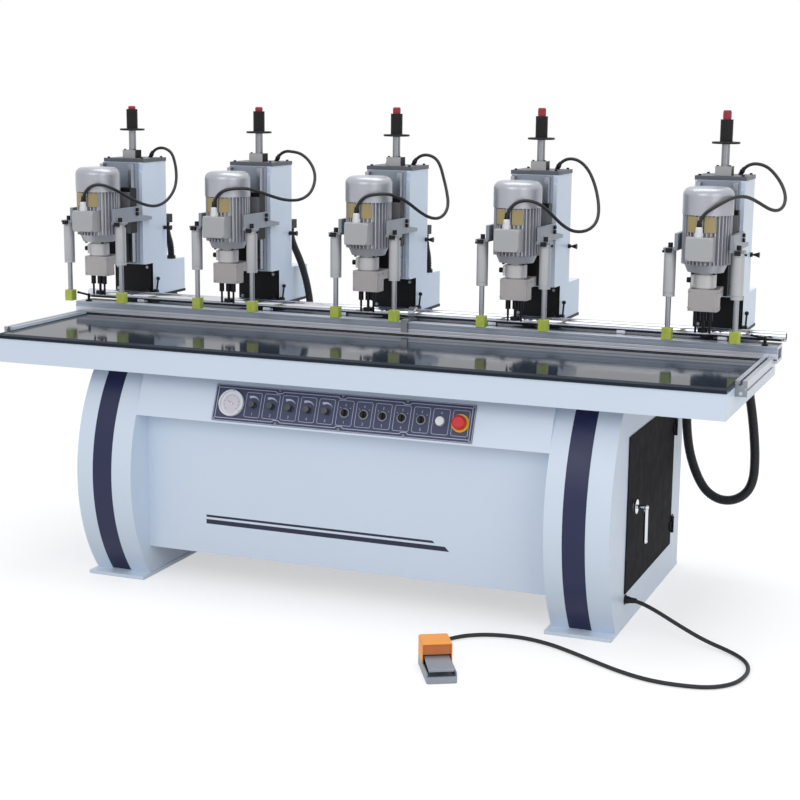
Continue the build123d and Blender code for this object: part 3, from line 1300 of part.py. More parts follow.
main()
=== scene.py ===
"""Looks of a five-head hinge boring machine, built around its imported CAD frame.

Sizes are in mm in the frame of the part (X along the table, b from the table's front edge to the rear,
Z up) and become metres in the row frame when a mesh is made.
"""

import math

import bmesh
import bpy
from mathutils import Matrix, Vector


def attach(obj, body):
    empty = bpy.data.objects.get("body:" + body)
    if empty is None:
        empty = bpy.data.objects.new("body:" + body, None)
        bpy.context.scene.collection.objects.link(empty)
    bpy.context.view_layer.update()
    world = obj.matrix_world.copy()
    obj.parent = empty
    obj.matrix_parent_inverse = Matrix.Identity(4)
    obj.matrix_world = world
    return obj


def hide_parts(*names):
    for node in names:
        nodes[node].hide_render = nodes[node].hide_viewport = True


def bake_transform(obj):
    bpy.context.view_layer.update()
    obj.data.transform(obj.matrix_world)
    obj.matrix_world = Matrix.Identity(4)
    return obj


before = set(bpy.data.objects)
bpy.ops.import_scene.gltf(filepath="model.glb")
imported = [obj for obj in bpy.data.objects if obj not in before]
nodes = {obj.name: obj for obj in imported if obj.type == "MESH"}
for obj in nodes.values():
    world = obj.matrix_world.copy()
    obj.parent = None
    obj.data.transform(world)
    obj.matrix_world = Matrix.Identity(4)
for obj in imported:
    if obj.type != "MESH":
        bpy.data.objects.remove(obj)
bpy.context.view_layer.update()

MM = 0.001

# The row frame's origin, the heads along the table, and the spindles, depth rods and table top, in mm
PLAN_CENTRE = 551.0
HEADS = (-1222.0, -670.0, -108.0, 446.0, 1102.0)
AXIS = 598.0
ROD = 858.0
TABLE_Z = 850.0

X_AXIS = Vector((1, 0, 0))
Y_AXIS = Vector((0, 1, 0))
Z_AXIS = Vector((0, 0, 1))


def row(x, b, z):
    """A point of the part, in metres in the row frame."""
    return Vector((x, b - PLAN_CENTRE, z)) * MM


# Materials


def srgb(red, green, blue):
    """A screen colour of 0 to 255 as the linear colour that a shader takes."""

    def linear(value):
        value /= 255.0
        return value / 12.92 if value <= 0.04045 else ((value + 0.055) / 1.055) ** 2.4

    return (linear(red), linear(green), linear(blue), 1.0)


def scaled(colour, share):
    """The colour made darker or lighter."""
    return tuple(min(1.0, c * share) for c in colour[:3]) + (1.0,)


NOISE_LOW = 0.3
NOISE_HIGH = 0.7


class Finish:
    """A procedural material: colour and roughness that vary, grain, and edges that are broken."""

    def __init__(self, name, colour, roughness, metallic=0.0, vary=0.05, patch=6.0):
        self.material = bpy.data.materials.new(name)
        self.material.use_nodes = True
        self.tree = self.material.node_tree
        self.shader = self.tree.nodes["Principled BSDF"]
        self.shader.inputs["Metallic"].default_value = metallic
        self.coords = self.tree.nodes.new("ShaderNodeTexCoord").outputs["Object"]
        self.normal = None
        cloud = self.noise(patch, 4.0)
        self.colour = self.ramp(cloud, scaled(colour, 1 - vary), scaled(colour, 1 + vary), 0.35, 0.65)
        spread = min(0.04, roughness * 0.12)
        self.rough = self.span(self.noise(patch * 7.0, 3.0), roughness - spread, roughness + spread)

    def link(self, source, target):
        self.tree.links.new(source, target)

    def noise(self, scale, detail, stretch=(1, 1, 1)):
        source = self.coords
        if stretch != (1, 1, 1):
            mapping = self.tree.nodes.new("ShaderNodeMapping")
            mapping.inputs["Scale"].default_value = stretch
            self.link(source, mapping.inputs["Vector"])
            source = mapping.outputs["Vector"]
        texture = self.tree.nodes.new("ShaderNodeTexNoise")
        texture.inputs["Scale"].default_value = scale
        texture.inputs["Detail"].default_value = detail
        self.link(source, texture.inputs["Vector"])
        return texture.outputs["Fac"]

    def ramp(self, factor, low, high, start, end):
        node = self.tree.nodes.new("ShaderNodeValToRGB")
        node.color_ramp.elements[0].position = start
        node.color_ramp.elements[0].color = low
        node.color_ramp.elements[1].position = end
        node.color_ramp.elements[1].color = high
        self.link(factor, node.inputs["Fac"])
        return node.outputs["Color"]

    def span(self, factor, low, high):
        """Spreads a noise over a range of values."""
        node = self.tree.nodes.new("ShaderNodeMapRange")
        node.inputs["From Min"].default_value = NOISE_LOW
        node.inputs["From Max"].default_value = NOISE_HIGH
        node.inputs["To Min"].default_value = low
        node.inputs["To Max"].default_value = high
        self.link(factor, node.inputs["Value"])
        return node.outputs["Result"]

    def broken_edges(self, radius=0.0009):
        """Rounds the shading of sharp edges, as on deburred and painted work."""
        node = self.tree.nodes.new("ShaderNodeBevel")
        node.samples = 4
        node.inputs["Radius"].default_value = radius
        self.normal = node.outputs["Normal"]
        return self

    def grain(self, scale, depth, detail=2.0, stretch=(1, 1, 1)):
        """Relief of that depth in metres."""
        node = self.tree.nodes.new("ShaderNodeBump")
        node.inputs["Strength"].default_value = 1.0
        node.inputs["Distance"].default_value = depth
        self.link(self.noise(scale, detail, stretch), node.inputs["Height"])
        if self.normal is not None:
            self.link(self.normal, node.inputs["Normal"])
        self.normal = node.outputs["Normal"]
        return self

    def set(self, **values):
        for key, value in values.items():
            self.shader.inputs[key.replace("_", " ")].default_value = value
        return self

    def done(self):
        self.link(self.colour, self.shader.inputs["Base Color"])
        self.link(self.rough, self.shader.inputs["Roughness"])
        if self.normal is not None:
            self.link(self.normal, self.shader.inputs["Normal"])
        return self.material


def paint(name, colour, roughness=0.38, vary=0.006, shine=0.5, peel=0.00001):
    """Sprayed enamel with a fine orange peel."""
    made = Finish(name, colour, roughness, vary=vary, patch=3.0).broken_edges()
    return made.grain(scale=420.0, depth=peel).set(Specular_IOR_Level=shine).done()


def plastic(name, colour, roughness=0.42, grain=900.0, shine=0.35):
    """Moulded or extruded plastic with a fine grain."""
    made = Finish(name, colour, roughness, vary=0.05, patch=30.0).broken_edges(0.0006)
    return made.grain(grain, depth=0.00003).set(Specular_IOR_Level=shine).done()


def metal(name, colour, roughness, stretch=(1, 1, 1), grain=0.00001, scale=500.0):
    """Bare metal with the marks of its machining along the axis that stretch leaves long."""
    made = Finish(name, colour, roughness, metallic=1.0, vary=0.03, patch=8.0).broken_edges(0.0007)
    return made.grain(scale, grain, detail=3.0, stretch=stretch).done()


def cast(name, colour, roughness, metallic, relief):
    """Cast or sprayed silver skin of the motors and housings."""
    made = Finish(name, colour, roughness, metallic, 0.04, 9.0).broken_edges(0.0012)
    return made.grain(scale=320.0, depth=relief, detail=4.0).done()


WHITE = paint("white_enamel", srgb(212, 225, 241))
BLACK = paint("black_enamel", srgb(20, 20, 23), 0.46, 0.05, 0.2)
DOOR = paint("door_enamel", srgb(21, 21, 25), 0.6, 0.03, 0.03)
TOP_GREY = paint("top_plate_grey", srgb(82, 85, 92), 0.44, 0.04)
RAIL_GREY = paint("rail_plate_grey", srgb(140, 149, 164), 0.46, 0.04)
SLIDE_GREY = paint("slide_grey", srgb(118, 121, 126), 0.42, 0.05)
BRACKET = paint("bracket_grey", srgb(146, 153, 164), 0.42, 0.04)
INDIGO = paint("indigo_film", srgb(34, 39, 76), 0.36, 0.05, 0.35)
NAVY = paint("navy_film", srgb(30, 34, 62), 0.38, 0.05, 0.4)
PANEL = paint("panel_face", srgb(57, 63, 95), 0.42, 0.05, 0.35)
PANEL_LINE = plastic("panel_print", srgb(190, 194, 216), 0.5)
ALUMINIUM = metal("milled_aluminium", srgb(200, 203, 212), 0.38, (0.03, 1, 1))
CYLINDER = cast("anodised_aluminium", srgb(186, 188, 192), 0.40, 0.3, 0.00002)
STEEL = metal("ground_steel", srgb(158, 161, 168), 0.30, (1, 1, 0.05))
ROD_STEEL = metal("rod_steel", srgb(138, 140, 144), 0.34, (1, 1, 0.05))
FENCE_GREY = metal("drawn_aluminium", srgb(160, 168, 183), 0.40, (0.03, 1, 1))
FENCE_TOP = cast("fence_top", srgb(200, 207, 220), 0.42, 0.3, 0.00001)
SAWN_END = metal("sawn_aluminium", srgb(150, 156, 162), 0.55)
CHROME = metal("bright_chrome", srgb(212, 214, 220), 0.10, grain=0.000002)
# Blackened steel of the spindles, nuts and plates; also used as painted shade on the guide blocks' side
# faces.
DARK_STEEL_AND_PAINTED_SHADE = metal("blackened_steel_and_painted_shade", srgb(42, 42, 47), 0.38)
SATIN = cast("satin_chrome", srgb(136, 139, 150), 0.5, 0.2, 0.00001)
MOTOR = cast("motor_silver", srgb(184, 187, 194), 0.42, 0.35, 0.00006)
COWL = cast("cowl_silver", srgb(172, 175, 183), 0.32, 0.5, 0.00001)
CASTING = cast("gearbox_silver", srgb(178, 174, 175), 0.44, 0.2, 0.00008)
RING = cast("ring_silver", srgb(198, 198, 200), 0.40, 0.3, 0.00003)
BLOCK = cast("block_silver", srgb(164, 165, 166), 0.42, 0.2, 0.00003)
BOX_GREY = paint("terminal_box_grey", srgb(174, 177, 180), 0.42, 0.03)
LABEL = paint("label_plate", srgb(160, 144, 100), 0.40, 0.14)
BLACK_PLASTIC = plastic("black_moulding", srgb(20, 20, 22), 0.44, 900.0, 0.25)
KNOB_GREY = plastic("knob_grey", srgb(52, 55, 64), 0.30, 900.0, 0.5)
WHITE_PLASTIC = plastic("white_moulding", srgb(222, 225, 232), 0.36)
RED_PLASTIC = plastic("red_moulding", srgb(204, 40, 44), 0.36)
CAP_RED = plastic("cap_red", srgb(150, 42, 60), 0.40)
YELLOW_PLASTIC = plastic("yellow_moulding", srgb(236, 186, 40), 0.40)
URETHANE = (
    Finish("green_urethane", srgb(182, 198, 84), 0.36, vary=0.08, patch=40.0)
    .broken_edges(0.002)
    .grain(scale=300.0, depth=0.00005)
    .set(Subsurface_Weight=0.7, Subsurface_Scale=0.012)
    .done()
)
ORANGE = paint("pedal_orange_enamel", srgb(242, 156, 58), 0.44, 0.04)
# The flap's darker orange is partly its own colour and partly painted shade of the hood's inside.
FLAP_ORANGE_AND_SHADE = paint("flap_orange_with_painted_shade", srgb(196, 112, 58), 0.5, 0.05)
PEDAL_GREY = cast("pedal_casting", srgb(150, 157, 168), 0.5, 0.25, 0.00008)
RUBBER = plastic("cable_sheath", srgb(40, 41, 44), 0.52, 700.0)
CONDUIT = plastic("conduit_sheath", srgb(30, 31, 34), 0.44, 500.0, 0.3)
DIAL = paint("dial_face", srgb(208, 206, 218), 0.4, 0.02)
TABLE_TOP = (
    Finish("polished_top", srgb(40, 47, 58), 0.08, vary=0.06, patch=4.0)
    .grain(scale=14.0, depth=0.00002)
    .set(Specular_IOR_Level=0.055, Specular_Tint=(0.84, 0.92, 1.0, 1.0))
    .done()
)
EDGING = paint("table_edging", srgb(36, 43, 55), 0.6, 0.03, 0.1)


# Finishes of the CAD nodes

EVERY = 9000.0


def paint_node(name, own, rules=(), place=None):
    """Paints a node in its own material, and the faces with their middle in a rule's box in that rule's.

    A rule is (material, low corner, high corner), in mm. place turns a row-frame point in metres into the
    frame that the rules use.
    """
    mesh = nodes[name].data
    mesh.materials.clear()
    mesh.materials.append(own)
    index = {own: 0}
    for material, low, high in rules:
        if material not in index:
            index[material] = len(mesh.materials)
            mesh.materials.append(material)
    place = place or part_place(0.0)
    for face in mesh.polygons:
        middle = place(face.center)
        chosen = own
        for material, low, high in rules:
            if all(a <= c <= d for a, c, d in zip(low, middle, high)):
                chosen = material
        face.material_index = index[chosen]


def part_place(x):
    """The part's own mm, taken along the table from x."""
    return lambda p: (p.x / MM - x, p.y / MM + PLAN_CENTRE, p.z / MM)


PANEL_FOOT = (42.0, 600.0)
PANEL_UP = Vector((0.0, 0.37447, 0.92725))
PANEL_OUT = Vector((0.0, -0.92725, 0.37447))
PANEL_ORIGIN = row(0, *PANEL_FOOT)


def panel_place(p):
    """Along the panel, up its slope and out of the console face."""
    d = p - PANEL_ORIGIN
    return (d.x / MM, d.dot(PANEL_UP) / MM, d.dot(PANEL_OUT) / MM)


PEDAL_PLACE = (593.0, -495.0, 0.0)
PEDAL_ORIGIN = row(*PEDAL_PLACE)
PEDAL_TURN = math.radians(29.0)


def pedal_place(p):
    """Across the pedal, from its front lip to the rear, and up."""
    d = Matrix.Rotation(-PEDAL_TURN, 3, "Z") @ (p - PEDAL_ORIGIN)
    return tuple(c / MM for c in d)


def both(material, low, high):
    """The same box on both sides of X = 0."""
    return (
        (material, low, high),
        (material, (-high[0], low[1], low[2]), (-low[0], high[1], high[2])),
    )


COLUMN_RULES = (
    (BLACK, (-89, 847, 860), (89, 1110, 904.2)),
    (DARK_STEEL_AND_PAINTED_SHADE, (-71, 900, 865), (71, 1072, 894)),
    (BLACK, (-81, 841.9, 910), (81, 850.1, 1030)),
    (STEEL, (-81, 836, 910), (60, 841.8, 1030)),
    (STEEL, (-81, 836, 930), (81, 841.8, 1030)),
    (RAIL_GREY, (-72.1, 751.8, 1038), (72.1, 776.9, 1428)),
    (STEEL, (-70, 725.8, 1038), (70, 751.7, 1428)),
    *both(BRACKET, (85.9, 540, 1205.9), (134, 829.1, 1262.1)),
    *both(BLACK, (98.1, 702, 1225), (108, 722, 1262)),
    *both(BLACK_PLASTIC, (104, 556, 1214.1), (122, 576, 1232)),
    *both(CYLINDER, (92.8, 545.8, 1051.8), (133.1, 586.2, 1205.8)),
    *both(DARK_STEEL_AND_PAINTED_SHADE, (133.2, 558, 1192), (142, 574, 1206)),
    *both(BLACK_PLASTIC, (102, 534, 1197), (124, 544.9, 1214.2)),
    (TOP_GREY, (-89, 780, 1426.9), (89, 970, 1441.1)),
    (BLOCK, (-28.1, 828.9, 1441.2), (28.1, 876.2, 1472.2)),
    # Both side faces of the guide block: painted shade, dark steel standing in for the shade these sides
    # fall in.
    *both(DARK_STEEL_AND_PAINTED_SHADE, (27.9, 828.9, 1441.2), (28.1, 876.2, 1472)),
    (BLACK_PLASTIC, (38, 905, 1441.2), (72, 938, 1475)),
    (BLACK_PLASTIC, (43, 963.1, 1178), (86, 1019, 1217)),
    (CONDUIT, (38, 981, 1030), (90, 1064, 1181)),
    (BLACK_PLASTIC, (86.1, 925, 1147), (130, 962, 1183)),
    (BLACK_PLASTIC, (86.1, 845, 905), (112, 892, 990)),
    (BLACK_PLASTIC, (58, 812, 903), (86, 841.9, 930)),
)

HEAD_RULES = (
    (COWL, (-84, 513, 1325.2), (84, 689, 1420)),
    (BOX_GREY, (-49, 486, 1178), (43, 536, 1256.6)),
    (WHITE_PLASTIC, (-18, 494, 1256.7), (2, 514, 1291)),
    (CASTING, (-60, 554, 1000), (60, 639, 1084)),
    (CASTING, (-60, 554, 1040), (60, 689.9, 1080)),
    (RING, (-60, 554, 1084.1), (60, 639, 1132)),
    (BLACK, (-62, 587, 1092), (-44.1, 609, 1118)),
    (BLACK, (-85, 689.9, 1040), (85, 747, 1340)),
    (STEEL, (-12, 720.1, 1180), (12, 876, 1215)),
    (ROD_STEEL, (-21, 836, 1200), (21, 880, 1547.1)),
    (BLACK_PLASTIC, (-52, 806, 1546.9), (52, 910, 1629.1)),
    (CAP_RED, (-22, 836, 1629.2), (22, 880, 1665)),
)

for number, head in enumerate(HEADS, 1):
    place = part_place(head)
    paint_node(f"column_{number}", WHITE, COLUMN_RULES, place)
    paint_node(f"drill_head_{number}", MOTOR, HEAD_RULES, place)
    paint_node(f"centre_spindle_{number}", DARK_STEEL_AND_PAINTED_SHADE, (), place)
    for side in ("left", "right"):
        paint_node(f"{side}_spindle_{number}", DARK_STEEL_AND_PAINTED_SHADE, (), place)
    paint_node(
        f"clamp_{number}",
        STEEL,
        ((URETHANE, (-EVERY, 0, 900), (EVERY, EVERY, 947.05)),),
        place,
    )
    paint_node(f"regulator_{number}", KNOB_GREY)
    paint_node(f"selector_{number}", BLACK_PLASTIC)

paint_node("table_top", TABLE_TOP)
paint_node(
    "table_frame",
    WHITE,
    (
        *both(ALUMINIUM, (1300.1, 90, 805), (1342, 640, 865)),
        *both(SAWN_END, (1300.1, 129.9, 805), (1342, 130.1, 865)),
    ),
)
paint_node("left_pedestal", WHITE)
paint_node("right_pedestal", WHITE, ((BLACK, (960.1, 870, 150), (980, 915, 580)),))
paint_node("front_body", WHITE)
paint_node(
    "rear_beam",
    WHITE,
    (
        (STEEL, (-EVERY, 918, 862.1), (EVERY, 1060, 879)),
        (BLACK_PLASTIC, (-EVERY, 965, 862.1), (EVERY, 1015, 879)),
        (BLACK_PLASTIC, (950, 930, 740), (1230, 985, 755.9)),
    ),
)
paint_node(
    "fence",
    ALUMINIUM,
    (
        (FENCE_GREY, (-EVERY, 619.9, 874.1), (EVERY, 623.1, 895.9)),
        (FENCE_TOP, (-EVERY, 619.9, 895.95), (EVERY, 680, 896.05)),
        (CHROME, (-EVERY, 684, 908.2), (EVERY, 720, 940)),
    ),
)
for name in ("left", "right"):
    paint_node(f"fence_stop_{name}", BLACK)
paint_node("fence_stop_middle", STEEL)
paint_node(
    "control_panel",
    PANEL,
    (
        (BLACK_PLASTIC, (-EVERY, -50, -90), (EVERY, 200, -0.1)),
        (WHITE_PLASTIC, (-432, 20, 3.1), (-336, 120, 30)),
        (SATIN, (-20, 40, 3.1), (400, 105, 30)),
        (YELLOW_PLASTIC, (402, 30, 3.1), (470, 110, 30)),
    ),
    panel_place,
)
paint_node("start_button", WHITE_PLASTIC)
paint_node("emergency_stop", RED_PLASTIC)
paint_node("cabinet_door", DOOR, ((CHROME, (963.6, 270, 360), (975, 335, 420)),))
paint_node("door_handle", CHROME)
paint_node("pedal_treadle", PEDAL_GREY)
paint_node("pedal_base", PEDAL_GREY, ((ORANGE, (-200, 96, 31), (200, 300, 100)),), pedal_place)


# Mesh building

SHARP = math.radians(32)


def hexagon(angle):
    """How far a hexagon reaches at an angle, as a share of its inner radius."""
    side = math.pi / 3
    return 1.0 / math.cos((angle + side / 2) % side - side / 2)


class Piece:
    """A mesh gathered from turned, extruded and swept solids, in mm in a frame of its own."""

    def __init__(self, name):
        self.name = name
        self.mesh = bmesh.new()
        self.materials = []

    def faces(self, points, faces, material):
        if material not in self.materials:
            self.materials.append(material)
        index = self.materials.index(material)
        made = [self.mesh.verts.new(p) for p in points]
        for corners in faces:
            face = self.mesh.faces.new([made[i] for i in corners])
            face.material_index = index
            face.smooth = True
        return self

    def rings(self, rings, material, closed=True):
        """Skins rings of points that have the same count; a ring of one point closes an end."""
        points = [p for ring in rings for p in ring]
        starts = [sum(len(r) for r in rings[:i]) for i in range(len(rings))]
        faces = []
        for i, (a, b) in enumerate(zip(rings, rings[1:])):
            count = max(len(a), len(b))
            for k in range(count):
                k2 = (k + 1) % count
                if len(a) == 1:
                    faces.append((starts[i], starts[i + 1] + k2, starts[i + 1] + k))
                elif len(b) == 1:
                    faces.append((starts[i] + k, starts[i] + k2, starts[i + 1]))
                else:
                    faces.append((starts[i] + k, starts[i] + k2, starts[i + 1] + k2, starts[i + 1] + k))
        if closed:
            for i in (0, len(rings) - 1):
                if len(rings[i]) > 2:
                    faces.append([starts[i] + k for k in range(len(rings[i]))])
        return self.faces(points, faces, material)

    def lathe(self, profile, base, axis, material, sides=32, shape=None):
        """Turns (radius, height) pairs about an axis; shape(height index, angle) scales a radius."""
        axis = Vector(axis).normalized()
        across = axis.orthogonal().normalized()
        along = axis.cross(across)
        rings = []
        for i, (radius, height) in enumerate(profile):
            middle = Vector(base) + axis * height
            if radius == 0:
                rings.append([middle])
                continue
            ring = []
            for k in range(sides):
                angle = 2 * math.pi * k / sides
                r = radius * (shape(i, angle) if shape else 1.0)
                ring.append(middle + across * (r * math.cos(angle)) + along * (r * math.sin(angle)))
            rings.append(ring)
        return self.rings(rings, material)

    def prism(self, outline, depth, material, turn=None, chamfer=0.0):
        """Extrudes an outline of (x, y) by depth along z, in the frame that the matrix turn gives."""
        turn = turn or Matrix.Identity(4)
        rings = [[turn @ Vector((x, y, 0)) for x, y in outline]]
        if chamfer:
            rings.append([turn @ Vector((x, y, depth - chamfer)) for x, y in outline])
            outline = inset(outline, chamfer)
        rings.append([turn @ Vector((x, y, depth)) for x, y in outline])
        return self.rings(rings, material)

    def sweep(self, path, radius, material, sides=16, shape=None):
        """A tube along points; shape(length so far) scales its radius."""
        rings = []
        ahead = (path[1] - path[0]).normalized()
        side = ahead.orthogonal().normalized()
        run = 0.0
        for i, p in enumerate(path):
            before = path[max(i - 1, 0)]
            after = path[min(i + 1, len(path) - 1)]
            ahead = (after - before).normalized()
            side = (side - ahead * side.dot(ahead)).normalized()
            other = ahead.cross(side)
            run += (p - before).length
            r = radius * (shape(run) if shape else 1.0)
            ring = []
            for k in range(sides):
                angle = 2 * math.pi * k / sides
                ring.append(p + side * (r * math.cos(angle)) + other * (r * math.sin(angle)))
            rings.append(ring)
        return self.rings(rings, material)

    def bolt(self, base, axis, radius, height, material=None):
        """A socket head screw with a chamfered head and a hexagon in it."""
        head = ((radius, -0.4), (radius, height * 0.86), (radius * 0.9, height), (radius * 0.62, height))
        socket = ((radius * 0.5, height), (radius * 0.5, height * 0.45), (0, height * 0.45))

        def shape(i, angle):
            return 1.0 if i < len(head) else hexagon(angle)

        return self.lathe(head + socket, base, axis, material or BLACK, 24, shape)

    def mesh_data(self):
        """The mesh with its points as they were given."""
        bmesh.ops.remove_doubles(self.mesh, verts=self.mesh.verts, dist=0.0001)
        bmesh.ops.recalc_face_normals(self.mesh, faces=self.mesh.faces)
        data = bpy.data.meshes.new(self.name)
        self.mesh.to_mesh(data)
        self.mesh.free()
        for material in self.materials:
            data.materials.append(material)
        data.set_sharp_from_angle(angle=SHARP)
        return data

    def part_mesh(self):
        """The mesh with its points taken as (X, b, Z) of the part."""
        data = self.mesh_data()
        data.transform(Matrix.Scale(MM, 4) @ Matrix.Translation((0, -PLAN_CENTRE, 0)))
        return data


def inset(outline, distance):
    """The outline moved inwards by a distance, for an outline that runs counterclockwise."""
    moved = []
    count = len(outline)
    for i in range(count):
        p = Vector(outline[i - 1])
        q = Vector(outline[i])
        r = Vector(outline[(i + 1) % count])
        a = (q - p).normalized()
        b = (r - q).normalized()
        normal = Vector((-a.y - b.y, a.x + b.x)).normalized()
        lean = max(0.3, normal.dot(Vector((-a.y, a.x))))
        moved.append(q + normal * (distance / lean))
    return moved


def polar(radius, angle):
    """The point at an angle in degrees."""
    return Vector((radius * math.cos(math.radians(angle)), radius * math.sin(math.radians(angle))))


def rectangle(x0, y0, x1, y1):
    """A counterclockwise outline with square corners."""
    return ((x0, y0), (x1, y0), (x1, y1), (x0, y1))


def rounded_box(x0, y0, x1, y1, radius, steps=5):
    """A counterclockwise outline with round corners."""
    centres = (
        (x1 - radius, y0 + radius, -90),
        (x1 - radius, y1 - radius, 0),
        (x0 + radius, y1 - radius, 90),
        (x0 + radius, y0 + radius, 180),
    )
    outline = []
    for cx, cy, start in centres:
        for k in range(steps + 1):
            angle = math.radians(start + 90.0 * k / steps)
            outline.append((cx + radius * math.cos(angle), cy + radius * math.sin(angle)))
    return outline


def facing_front(b):
    """Stands an outline of (X, Z) up at b, with its depth towards the front."""
    return Matrix.Translation((0, b, 0)) @ Matrix.Rotation(math.radians(90), 4, "X")


def add(name, data):
    """A new object in the scene."""
    thing = bpy.data.objects.new(name, data)
    bpy.context.scene.collection.objects.link(thing)
    return thing


def show(name, data, body, x=0.0):
    """Puts a mesh in the scene, x mm along the table, riding on a body."""
    thing = add(name, data)
    thing.location = (x * MM, 0, 0)
    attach(thing, body)
    return thing


def on_heads(name, piece, body):
    """Puts the same mesh on every head, riding on that head's own body."""
    data = piece.part_mesh()
    for number, x in enumerate(HEADS, 1):
        show(f"{name}_{number}", data, f"{body}_{number}", x)


# Cords: the control points of each line, as (X, b, Z)

MOTOR_START = ((-8, 504, 1290), (-8, 504, 1307), (8, 502, 1334), (34, 501, 1352))
MOTOR_END = ((112, 921, 1478), (82, 920, 1480), (56, 920, 1466), (48, 920, 1452))
MOTOR_LOOPS = (
    (
        (68, 510, 1357), (98, 526, 1346), (115, 560, 1328), (127, 596, 1309), (138, 630, 1293),
        (147, 663, 1280), (156, 697, 1270), (165, 732, 1265), (173, 767, 1269), (180, 801, 1282),
        (184, 831, 1302), (184, 859, 1326), (177, 885, 1355), (167, 905, 1384), (155, 917, 1422),
        (140, 921, 1460),
    ),
    (
        (70, 510, 1359), (104, 527, 1361), (126, 555, 1354), (142, 586, 1344), (155, 617, 1333),
        (168, 650, 1323), (181, 682, 1314), (197, 713, 1309), (213, 745, 1308), (226, 778, 1315),
        (234, 810, 1330), (235, 839, 1352), (230, 866, 1378), (217, 890, 1406), (196, 908, 1433),
        (170, 917, 1457), (142, 920, 1473),
    ),
    (
        (69, 510, 1358), (100, 530, 1359), (118, 560, 1350), (134, 588, 1337), (148, 617, 1321),
        (159, 645, 1303), (170, 674, 1286), (181, 704, 1272), (192, 737, 1262), (204, 772, 1261),
        (212, 803, 1273), (213, 832, 1293), (206, 856, 1318), (193, 878, 1345), (179, 898, 1373),
        (165, 911, 1404), (153, 918, 1436), (137, 921, 1463),
    ),
    (
        (69, 509, 1356), (104, 522, 1343), (127, 551, 1317), (142, 580, 1292), (154, 609, 1272),
        (166, 638, 1256), (180, 669, 1244), (197, 701, 1240), (214, 734, 1244), (226, 766, 1257),
        (230, 796, 1276), (227, 823, 1300), (219, 848, 1326), (208, 871, 1353), (195, 891, 1381),
        (180, 907, 1409), (162, 917, 1438), (139, 921, 1463),
    ),
    (
        (60, 513, 1369), (83, 540, 1383), (101, 571, 1388), (118, 603, 1387), (134, 635, 1379),
        (150, 665, 1366), (166, 694, 1352), (182, 724, 1339), (197, 757, 1333), (208, 789, 1338),
        (213, 820, 1352), (211, 848, 1373), (201, 873, 1396), (185, 895, 1420), (163, 911, 1445),
        (138, 920, 1467),
    ),
)
CONDUIT_HEAD = 2
CONDUIT_ROUTE = (
    (64, 1000, 1180), (64, 1000, 1150), (78, 1000, 1110), (101, 1000, 1065), (120, 1000, 1015),
    (135, 999, 963), (146, 996, 914), (149, 994, 893), (149, 994, 876),
)
LOOP_ROUTE = (
    (983, 958, 742), (983, 958, 696), (984, 957, 650), (986, 956, 590), (991, 954, 520),
    (1002, 952, 452), (1022, 951, 388), (1049, 950, 333), (1078, 950, 298), (1123, 950, 276),
    (1172, 950, 280), (1215, 950, 309), (1237, 950, 358), (1240, 950, 430), (1233, 952, 515),
    (1221, 954, 600), (1208, 957, 665), (1204, 958, 700), (1204, 958, 742),
)
PEDAL_ROUTE = (
    (974, 225, 95), (1000, 225, 95), (1062, 205, 80), (1150, 175, 48), (1240, 142, 20), (1331, 103, 8),
    (1385, 45, 7), (1410, -20, 7), (1414, -90, 7), (1395, -175, 7), (1335, -235, 7), (1250, -250, 7),
    (1160, -246, 7), (1060, -208, 7), (960, -148, 7), (870, -92, 7), (790, -48, 7), (700, -22, 7),
    (610, -28, 7), (535, -60, 7), (485, -115, 7), (462, -185, 7), (461, -240, 10),
    (478.585, -288.590, 20), (494.099, -316.578, 20),
)

MOTOR_CABLE = 11.4
CONDUIT_WIDTH = 28.0
LOOP_WIDTH = 34.0
PEDAL_CABLE = 13.0

# Steps along the cords in metres and points read between two route points, finer where there are ribs
CABLE_STEP = 0.004
CABLE_SMOOTH = 60
RIB_PITCH = 0.008
RIB_STEP = 0.0008
RIB_SMOOTH = 160
RIB_VALLEY = 0.90


def spline(name, route, x=0.0, smooth=12):
    """A curve with the route as the control points of a NURBS line."""
    data = bpy.data.curves.new(name, "CURVE")
    data.dimensions = "3D"
    data.resolution_u = smooth
    line = data.splines.new("NURBS")
    line.points.add(len(route) - 1)
    for point, (px, pb, pz) in zip(line.points, route):
        point.co = (*row(px + x, pb, pz), 1.0)
    line.order_u = 3
    line.use_endpoint_u = True
    return data


def line_points(route, x=0.0, smooth=CABLE_SMOOTH):
    """Points read from the route's line."""
    curve = add("reading", spline("reading", route, x, smooth))
    bpy.context.view_layer.update()
    mesh = bpy.data.meshes.new_from_object(curve)
    points = [v.co.copy() for v in mesh.vertices]
    bpy.data.objects.remove(curve)
    bpy.data.meshes.remove(mesh)
    return points


def length_of(points):
    """The way along the points."""
    return sum((b - a).length for a, b in zip(points, points[1:]))


def spaced(points, step):
    """Every point at which about that length has been run."""
    kept = [points[0]]
    for p in points[1:-1]:
        if (p - kept[-1]).length >= step:
            kept.append(p)
    if (points[-1] - kept[-1]).length < step * 0.5 and len(kept) > 2:
        kept.pop()
    kept.append(points[-1])
    return kept


def tube_mesh(name, path, width, material, sides, shape=None):
    """A round cord of a width in mm along points in metres."""
    piece = Piece(name)
    piece.sweep(path, width / 2 * MM, material, sides, shape)
    return piece.mesh_data()


def ribs(run):
    """Corrugation of a conduit: flat crowns with narrow valleys."""
    wave = 0.5 + 0.5 * math.cos(2 * math.pi * run / RIB_PITCH)
    return RIB_VALLEY + (1 - RIB_VALLEY) * wave ** 0.5


